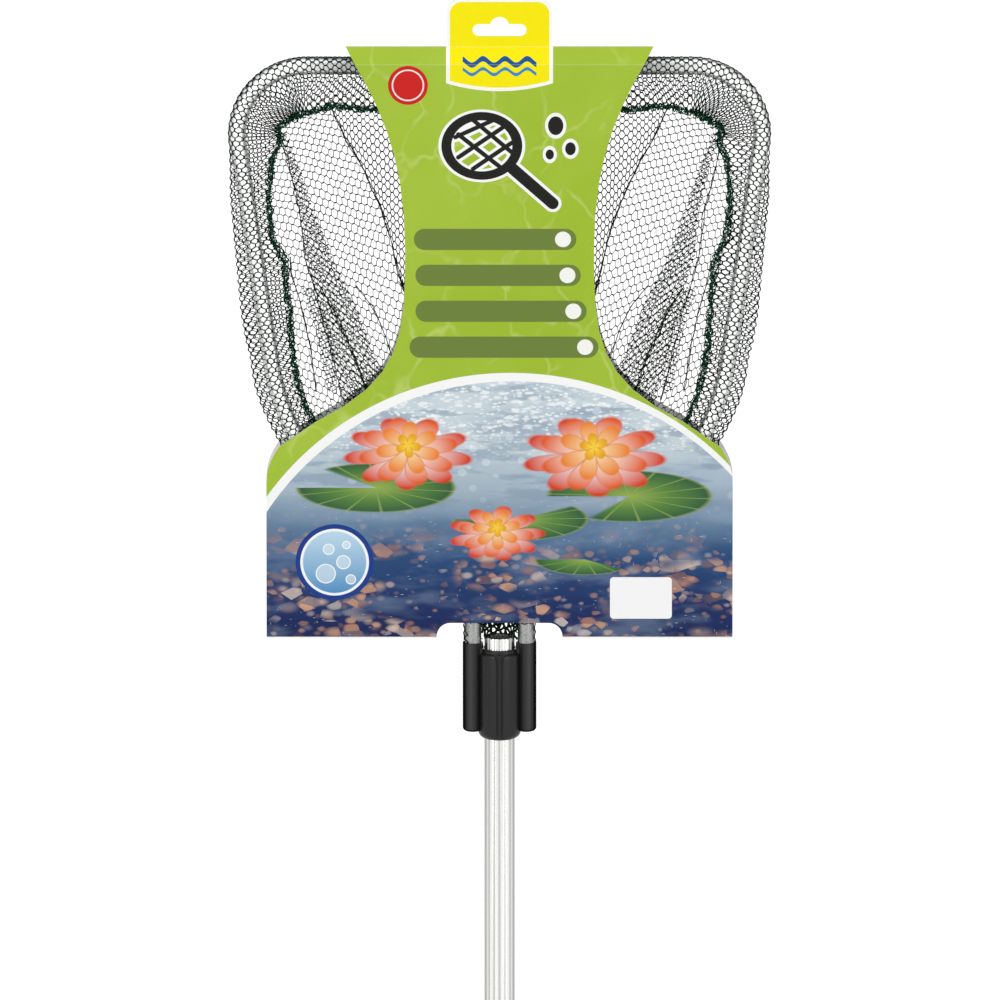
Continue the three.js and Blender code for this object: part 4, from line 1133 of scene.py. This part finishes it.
channel = prism("channel", channel_outline(BARREL_TOP + 0.0005, YOKE_BOTTOM - 0.0005, CHANNEL_HALF, 0.0036),
                -BARREL_RADIUS - 0.003, -BARREL_RADIUS + CHANNEL_DEPTH)
rib = [(-RIB_HALF, YOKE_BOTTOM - 0.002), (RIB_HALF, YOKE_BOTTOM - 0.002),
       (RIB_HALF, BARREL_TOP + 0.002), (-RIB_HALF, BARREL_TOP + 0.002)]
combine(channel, prism("rib", rib, -BARREL_RADIUS - 0.004, 0.0), "DIFFERENCE")
combine(yoke, channel, "DIFFERENCE")
soften(yoke, 0.0004)
dress(yoke, "head", [YOKE_PLASTIC], ["yoke"])
print("yoke faces", len(yoke.data.polygons))

# %% [markdown]
# ## The handle
# The outer tube is extruded with sixteen shallow flutes. Flutes follow a rule, so Geometry Nodes
# cuts them: every point on the outer wall of a plain round tube is pushed towards the axis by a wave
# that depends only on its angle.

# %% The flute tree
FLUTING, given, result = group(
    "flutes", "GeometryNodeTree",
    {"Body": "Geometry", "Count": FLUTES, "Depth": 0.0004, "Sharpness": 4.0, "Finish": "Material"},
    {"Mesh": "Geometry"}
)
x, y, z = split(FLUTING, first(FLUTING, "GeometryNodeInputPosition"))
wave = (maths(FLUTING, "ARCTAN2", x, y * -1) * given["Count"]).calc("COSINE") * 0.5 + 0.5
marked = first(FLUTING, "GeometryNodeInputNamedAttribute", {"Name": "fluted"})
share = wave ** given["Sharpness"] * given["Depth"] * marked * -1 / length(x, y)
shift = first(FLUTING, "ShaderNodeCombineXYZ", {"X": x * share, "Y": y * share})
moved = first(FLUTING, "GeometryNodeSetPosition", {"Geometry": given["Body"], "Offset": shift})
end_tree(FLUTING, moved, given["Finish"], result)

# %% The outer tube
OUTER_WALL = 0.00115
CHAMFER = 0.0003
low, high = (corner[2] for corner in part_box("outer_tube"))
outer = OUTER_TUBE_RADIUS
inner = OUTER_TUBE_RADIUS - OUTER_WALL
outer_tube = revolve(
    "outer_tube_metal",
    [(inner, low), (inner + 0.0002, low), (outer - 0.0002, low), (outer, low + CHAMFER),
     (outer, high - CHAMFER), (outer - CHAMFER, high), (inner + CHAMFER, high), (inner, high - CHAMFER)],
    192,
)
marks = outer_tube.data.attributes.new("fluted", "FLOAT", "POINT")
marks.data.foreach_set("value", [float(v.co.xy.length > outer - 1e-5) for v in outer_tube.data.vertices])
with_tree(outer_tube, FLUTING, {"Count": FLUTES, "Depth": 0.0003, "Sharpness": 3.0, "Finish": BRIGHT_TUBE})
dress(smooth(outer_tube, 40), "head", stands_for=["outer_tube"])


# %% [markdown]
# The remaining pieces of the handle keep the construction model's shapes. A construction mesh is
# loose triangles, so each is copied, its doubles are merged, and its round walls are shaded smooth.

# %% Pieces that keep their shape
def from_node(node, name):
    piece = in_scene(name, frame["nodes"][node].data.copy())
    piece.data.name = name
    work = bmesh.new()
    work.from_mesh(piece.data)
    bmesh.ops.remove_doubles(work, verts=work.verts, dist=1e-6)
    work.to_mesh(piece.data)
    work.free()
    return piece


KEPT = (
    ("head", "black_moulding", BLACK_PLASTIC, ["collet"]),
    ("lock", "black_moulding", BLACK_PLASTIC, ["lock_nut"]),
    ("lower_handle", "black_moulding", BLACK_PLASTIC, ["guide_plug", "end_cap"]),
    ("lower_handle", "bright_tube", BRIGHT_TUBE, ["inner_tube"]),
    ("lower_handle", "soft_grip", SOFT_GRIP, ["grip"]),
    ("head", "plated_steel", SCREW_STEEL,
     ["hoop_screw_left", "hoop_screw_right", "handle_screw", "collet_rivet"]),
    ("lower_handle", "plated_steel", SCREW_STEEL, ["plug_pin"]),
)
for body, slot, material, nodes in KEPT:
    for node in nodes:
        dress(smooth(from_node(node, node + "_dressed")), body, [material], [node])

# %% [markdown]
# ## The display card
# The card is one folded sheet: a printed front, a plain back. Its print is drawn by the material
# itself, from the place of each point in millimetres, so it has no pixels and stays sharp. Every
# shape is a formula for the distance to its outline, negative inside. A small class keeps these
# formulas readable. The print shows the colours and bands of a pet-shop card: a yellow label, a
# green field with light ripples, blank bars, and a pond with water lilies.

# %% A class for drawing in a material
def paint(red, green, blue):
    """A colour as a screen shows it, in the linear light that shaders use."""
    return tuple(
        (v / 255 / 12.92) if v < 11 else ((v / 255 + 0.055) / 1.055) ** 2.4 for v in (red, green, blue)
    )


class Sketch:
    """Shapes and colours as node formulas, in millimetres across (x) and up (z)."""

    def __init__(self, owner, place):
        self.owner = owner
        self.flat = vector(owner, "MULTIPLY", place, (1000, 0, 1000))[0]
        self.x, _, self.z = split(owner, self.flat)

    def disc(self, x, z, radius, squash=1.0):
        return length(self.x - x, (self.z - z) / squash) - radius

    def bar(self, x, z, half_width, half_height, corner):
        far = (abs(self.x - x) - (half_width - corner)).calc("MAXIMUM", 0.0)
        high = (abs(self.z - z) - (half_height - corner)).calc("MAXIMUM", 0.0)
        return length(far, high) - corner

    def stroke(self, x1, z1, x2, z2, radius):
        run_x, run_z = x2 - x1, z2 - z1
        size = run_x ** 2 + run_z ** 2
        across = self.x - x1
        up = self.z - z1
        along = (across * (run_x / size) + up * (run_z / size)).calc("MINIMUM", 1.0).calc("MAXIMUM", 0.0)
        return length(across - along * run_x, up - along * run_z) - radius

    def cover(self, shape, soft=0.12):
        """1 inside a shape and 0 outside, with an edge of the given softness."""
        return mapped(self.owner, shape, soft, -soft, interpolation_type="SMOOTHSTEP")

    def over(self, under, cover, colour, strength=1.0):
        return mixed(self.owner, cover if strength == 1.0 else cover * strength, under, colour)

    def laid(self, under, shape, colour, strength=1.0):
        """A shape in a screen's colour, laid over what is there."""
        return self.over(under, self.cover(shape), paint(*colour), strength)

    def stretched(self, scale_x, scale_z, turn=0.0):
        turned = (0, math.radians(turn), 0)
        inputs = {"Vector": self.flat, "Rotation": turned, "Scale": (scale_x, 1, scale_z)}
        return first(self.owner, "ShaderNodeMapping", inputs)

    def cells(self, place, feature="F1", scale=1.0):
        inputs = {"Vector": place, "Scale": scale}
        return add(self.owner, "ShaderNodeTexVoronoi", inputs, feature=feature).outputs

    def noise(self, place, scale, detail=2.0, roughness=0.5):
        return noise(self.owner, place, scale, detail, roughness)

    def ramp(self, value, stops):
        return ramp(self.owner, value, [(place, paint(*colour)) for place, colour in stops])


# %% [markdown]
# Two motifs come more than once, so each is a node group with inputs for its place and size. A lily
# is rings of petals, each ring a wave round its centre, seen from the side and so flattened. A pad
# is a flat disc with a notch and veins that run out from its middle.

# %% Motif groups
def motif_group(name, draw):
    tree, given, result = group(name, "ShaderNodeTree",
                                {"Vector": "Vector", "X": 0.0, "Z": 0.0, "Size": 20.0, "Turn": 0.0},
                                {"Cover": "Float", "Color": "Color"})
    sketch = Sketch(tree, given["Vector"])
    across = (sketch.x - given["X"]) / given["Size"]
    up = (sketch.z - given["Z"]) / given["Size"]
    cover, colour = draw(sketch, across, up, given["Turn"])
    put(tree, result["Cover"], cover)
    put(tree, result["Color"], colour)
    return tree


# Each ring's size, number of petals, turn, flatness, and colours at its middle and its tips
PETAL_RINGS = (
    (1.0, 9, 0.0, 0.58, (252, 250, 246), (216, 62, 26)),
    (0.78, 8, 0.35, 0.70, (253, 240, 226), (230, 92, 34)),
    (0.50, 7, 0.1, 0.85, (253, 222, 170), (240, 132, 44)),
    (0.2, 5, 0.0, 1.0, (255, 214, 70), (232, 160, 30)),
)


def draw_lily(sketch, across, up, turn):
    colour = cover = None
    for size, petals, shift, flat, base, tip in PETAL_RINGS:
        high = (up - 0.16 * (1 - size)) / flat
        angle = maths(sketch.owner, "ARCTAN2", high, across) + turn + shift
        wave = abs((angle * (petals / 2)).calc("COSINE"))
        share = length(across, high) / ((wave ** 0.55 * 0.62 + 0.38) * size)
        ring = sketch.cover(share - 1.0, 0.05)
        tint = sketch.ramp(share * (wave * 0.35 + 0.65), [(0.15, base), (0.95, tip)])
        tint = sketch.over(tint, sketch.cover(wave - 0.22, 0.2), paint(190, 70, 30), 0.45)
        colour = sketch.over(colour, ring, tint) if cover else tint
        cover = cover.calc("MAXIMUM", ring) if cover else ring
    return cover, colour


def draw_pad(sketch, across, up, turn):
    high = up / 0.32
    radius = length(across, high)
    angle = maths(sketch.owner, "ARCTAN2", high, across) + turn
    notch = sketch.cover((angle * 0.5).calc("COSINE") - 0.13, 0.03)
    veins = sketch.cover(abs((angle * 7).calc("SINE")) - 0.12, 0.12)
    colour = sketch.ramp(radius, [(0.0, (150, 176, 84)), (0.5, (92, 136, 66)), (0.94, (54, 98, 62)),
                                  (1.0, (134, 150, 90))])
    colour = sketch.over(colour, veins, paint(170, 190, 110), 0.5)
    return sketch.cover(radius - 1.0, 0.03) * (1.0 - notch), colour


LILY = motif_group("printed_lily", draw_lily)
PAD = motif_group("printed_pad", draw_pad)

# %% [markdown]
# The print is built from the bottom up, as a printer lays ink: first the field and the pond, then
# what stands on them.

# %% The printed field
PRINT = finish("card_print", paint(163, 192, 55), 0.34, Specular_IOR_Level=0.12,
               Coat_Weight=0.04, Coat_Roughness=0.2)
place = place_of(PRINT)
ink = Sketch(PRINT, place)

# Green field with light ripples, as sunlight makes on a pond's floor
wander = add(PRINT, "ShaderNodeTexNoise", {"Vector": ink.flat, "Scale": 0.035}).outputs[1]
push = vector(PRINT, "MULTIPLY", wander, (26, 26, 26))[0]
swept = vector(PRINT, "ADD", ink.stretched(1.0, 0.62, 12), push)[0]
ripples = Number(PRINT, ink.cells(swept, "DISTANCE_TO_EDGE", 0.026)["Distance"])
patches = ink.cover(0.5 - ink.noise(ink.flat, 0.03), 0.12)
field = ink.ramp(ink.noise(ink.flat, 0.012), [(0.3, (158, 190, 48)), (0.7, (170, 198, 66))])
field = ink.over(field, ink.cover(ripples - 0.02, 0.035) * patches, paint(198, 216, 118), 0.75)

# Blank bars down the field, a round spot on each
for k, longer in enumerate((0, 1, 3, 9)):
    middle = 2.0 * k - 3.0
    height = -153.0 - 25.0 * k
    field = ink.laid(field, ink.bar(middle, height, 55.0 + longer, 7.4, 7.2), (111, 132, 62))
    field = ink.laid(field, ink.disc(middle + 46.0 + longer, height, 5.4), (250, 252, 244))

# A landing net in black with a white edge, and three drops
sign = abs(ink.disc(-12, -88, 24, 0.86)) - 3.4
for shape in (
    ink.stroke(9, -104, 36, -128, 4.0),
    ink.stroke(-28, -96, 4, -74, 1.5), ink.stroke(-30, -82, -4, -70, 1.5),
    ink.stroke(-18, -104, 8, -86, 1.5), ink.stroke(-28, -80, 2, -104, 1.5),
    ink.stroke(-18, -70, 10, -94, 1.5),
    ink.disc(38, -74, 5.2, 1.25), ink.disc(48, -90, 3.6, 1.25), ink.disc(34, -94, 2.8, 1.25),
):
    sign = sign.calc("MINIMUM", shape)
field = ink.laid(field, sign - 2.0, (252, 253, 250))
field = ink.laid(field, sign, (26, 27, 24))

# A small red spot with a pale ring
spot = ink.disc(-62, -46, 13.5)
field = ink.laid(field, spot, (206, 36, 34))
field = ink.laid(field, abs(spot + 3.0) - 0.5, (250, 236, 232))

# %% [markdown]
# The pond has a bright broken surface above and deep blue below, with pebbles at the bottom. The
# pebbles, sparkles and drifting flecks are all blurred spots, each in its own cell of a pattern.

# %% The printed pond
depth = (ink.z + (ink.noise(ink.stretched(0.4, 1.4), 0.03) * 26 + 248.0)) * (-1 / 180)
pond = ink.ramp(depth, [(0.0, (206, 220, 226)), (0.2, (204, 217, 223)), (0.36, (172, 190, 202)),
                        (0.5, (98, 128, 158)), (0.63, (42, 76, 122)), (0.82, (25, 46, 96)),
                        (1.0, (19, 31, 78))])
clouds = ink.cover(0.56 - ink.noise(ink.stretched(0.5, 1.6), 0.035, 3), 0.1)
pond = ink.over(pond, clouds, paint(150, 172, 200), 0.28)
streaks = ink.cover(ink.noise(ink.stretched(0.35, 1.9, -4), 0.06, 4) - 0.47, 0.06)
pond = ink.over(pond, streaks * ink.cover(-342.0 - ink.z, 24), paint(116, 142, 168), 0.5)
clumps = ink.cover(0.5 - ink.noise(ink.stretched(0.6, 1.5, 6), 0.026, 1), 0.07)
PEBBLES = [(0.0, (214, 168, 136)), (0.35, (176, 128, 108)), (0.6, (98, 80, 92)), (0.8, (196, 188, 190)),
           (1.0, (232, 196, 162))]

# The pattern's stretch, the spots' size, the share left out, colour, the height where they thin out
# and over what distance (upwards if positive), softness, strength, and whether they lie in clumps
SPECKS = (
    ((0.07, 0.13, 8), 0.85, 0.8, PEBBLES, -364, 16, 0.24, 0.75, True),
    ((0.11, 0.18, -14), 0.8, 0.75, PEBBLES, -374, 16, 0.18, 0.85, True),
    ((0.16, 0.24, 5), 0.55, 0.3, PEBBLES, -356, 36, 0.2, 0.5, False),
    ((0.16, 0.42, 4), 0.7, 0.62, (246, 250, 252), -292, -16, 0.22, 0.8, False),
    ((0.3, 0.6, -6), 0.6, 0.5, (255, 255, 255), -300, -14, 0.15, 0.7, False),
    ((0.12, 0.14), 0.42, 0.25, (232, 240, 246), -325, -30, 0.05, 0.45, False),
    ((0.10, 0.9, 28), 0.13, 0.4, (226, 236, 250), -300, 30, 0.04, 0.8, False),
    ((0.75, 0.12, -24), 0.12, 0.3, (216, 226, 246), -320, 30, 0.04, 0.6, False),
)
for stretch, size, left_out, colour, top, fade, soft, strength, clumped in SPECKS:
    spots = ink.cells(ink.stretched(*stretch))
    parts = add(PRINT, "ShaderNodeSeparateColor", {"Color": spots["Color"]}).outputs
    largest, chance, tone = (Number(PRINT, part) for part in parts)
    spot = ink.cover(Number(PRINT, spots["Distance"]) - largest * size, soft)
    there = ink.cover((ink.z - top) * math.copysign(1.0, fade), abs(fade))
    cover = spot * ink.cover(chance - left_out, 0.03) * there
    tint = ink.ramp(tone, colour) if isinstance(colour, list) else paint(*colour)
    pond = ink.over(pond, cover * clumps if clumped else cover, tint, strength)

# Each motif's place, size and turn
MOTIFS = (
    (PAD, -84, -326, 54, 0.6), (PAD, 14, -348, 46, 2.2), (PAD, 88, -332, 56, -0.8), (PAD, 58, -376, 34, 3.6),
    (LILY, -62, -302, 44, 0.2), (LILY, 64, -304, 49, 0.8), (LILY, -2, -358, 33, 1.4),
)
for motif, *values in MOTIFS:
    inputs = {"Vector": place, **dict(zip(("X", "Z", "Size", "Turn"), values))}
    drawn = add(PRINT, "ShaderNodeGroup", inputs, node_tree=motif).outputs
    pond = ink.over(pond, drawn["Cover"], drawn["Color"])

# %% [markdown]
# A white curve parts field and pond. On the pond lie a ringed round window with bubbles and a blank
# white panel, and at the top the yellow label with its white border and two water lines.

# %% The finished print
card = ink.laid(field, ink.disc(7.8, -448.4, 202.5), (253, 254, 252))
card = ink.over(card, ink.cover(ink.disc(9.5, -451.4, 199.6)), pond)
window = ink.disc(-112, -378, 26.5)
glass = ink.ramp((ink.z + 402.0) * (1 / 48), [(0.0, (70, 140, 196)), (1.0, (196, 226, 242))])
card = ink.laid(card, window, (30, 62, 140))
card = ink.laid(card, window + 3.2, (250, 252, 254))
card = ink.over(card, ink.cover(window + 5.0), glass)
BUBBLES = ((-118, -386, 6.5), (-106, -378, 4.6), (-116, -369, 3.6), (-104, -366, 2.6), (-101, -390, 3.2))
for place_and_radius in BUBBLES:
    bubble = ink.disc(*place_and_radius)
    card = ink.laid(card, bubble, (226, 242, 250), 0.55)
    card = ink.laid(card, abs(bubble) - 0.35, (255, 255, 255))
card = ink.laid(card, ink.bar(96, -403, 21, 14.5, 2.5), (252, 253, 252))

foot = ink.x * ink.x * 0.0042 - 50.0 - ink.z
border = (abs(ink.x) - 36.2).calc("MAXIMUM", foot)
label = (abs(ink.x) - 33.7).calc("MAXIMUM", foot + 2.4).calc("MAXIMUM", ink.bar(0, -40, 33.7, 50.4, 8.4))
card = ink.laid(card, border, (254, 254, 250))
card = ink.laid(card, label, (252, 237, 9))
for height, half, colour in ((-30.0, 1.7, (24, 84, 150)), (-36.5, 1.2, (60, 140, 190))):
    water = abs(ink.z - height - (ink.x * 0.42).calc("SINE") * 2.0) - half
    card = ink.laid(card, water.calc("MAXIMUM", abs(ink.x) - 25.0), colour)

# Worn lines where the card is folded
for height in (-20.5, -31.7):
    card = ink.over(card, ink.cover(abs(ink.z - height) - 0.15, 0.35), paint(236, 240, 214), 0.3)
shade(PRINT, Base_Color=card)
grained(PRINT, 500, 0.1, 0.00001)

# %% The plain side of the board
BOARD = finish("plain_board", paint(240, 239, 235), 0.8, Specular_IOR_Level=0.25)
fibres = Sketch(BOARD, place_of(BOARD))
fleck = fibres.noise(fibres.stretched(1.0, 0.35), 0.9, 4, 0.7)
PALE = [(0.3, (236, 235, 230)), (0.55, (241, 240, 236)), (0.8, (246, 245, 242))]
shade(BOARD, Base_Color=fibres.ramp(fleck, PALE))
grained(BOARD, 700, 0.1, 0.00004)


# %% The card's two panels
def card_panel(node, name, body, printed):
    piece = from_node(node, name)
    dress(piece, body, [BOARD, PRINT] if printed else [BOARD], [node])
    for face in piece.data.polygons:
        face.material_index = int(printed and face.normal.y < -0.2)
    return smooth(piece, 20)


card_panel("card_front", "card_front_board", "card_flap", True)
card_panel("card_back", "card_back_board", "head", False)

# %% [markdown]
# ## The floor
# The net hangs, so the floor is a plain pale sheet just below the handle's end when that is drawn
# out. To the camera it is as white as the world behind it, apart from the net's soft shadow.

# %% Floor
FLOOR_REACH = 14
FLOOR_GAP = 0.003
FLOOR = finish("floor", (0.9, 0.9, 0.9), 0.9, Specular_IOR_Level=0.1, Emission_Color=(1, 1, 1))
dust = first(FLOOR, "ShaderNodeTexNoise", {"Scale": 30.0})
rays = add(FLOOR, "ShaderNodeLightPath").outputs
from_net = vector(FLOOR, "LENGTH", place_of(FLOOR))["Value"]
direct = maths(FLOOR, "MAXIMUM", rays["Is Camera Ray"], rays["Is Glossy Ray"])
glow = direct * mapped(FLOOR, from_net, 0.9, 2.4, 0.3, 0.75)
shade(FLOOR, Base_Color=ramp(FLOOR, dust, [(0.3, (0.88, 0.88, 0.88)), (0.7, (0.92, 0.92, 0.92))]),
      Emission_Strength=glow)
travel = next(joint for joint in frame["joints"] if joint["name"] == "handle_extend")["range_m"][1]
floor_z = cad_box[0][2] - travel - FLOOR_GAP
corners = [(x * FLOOR_REACH, y * FLOOR_REACH, floor_z) for x, y in ((-1, -1), (1, -1), (1, 1), (-1, 1))]
floor = mesh_object("floor", corners, [(0, 1, 2, 3)])
floor.data.materials.append(FLOOR)
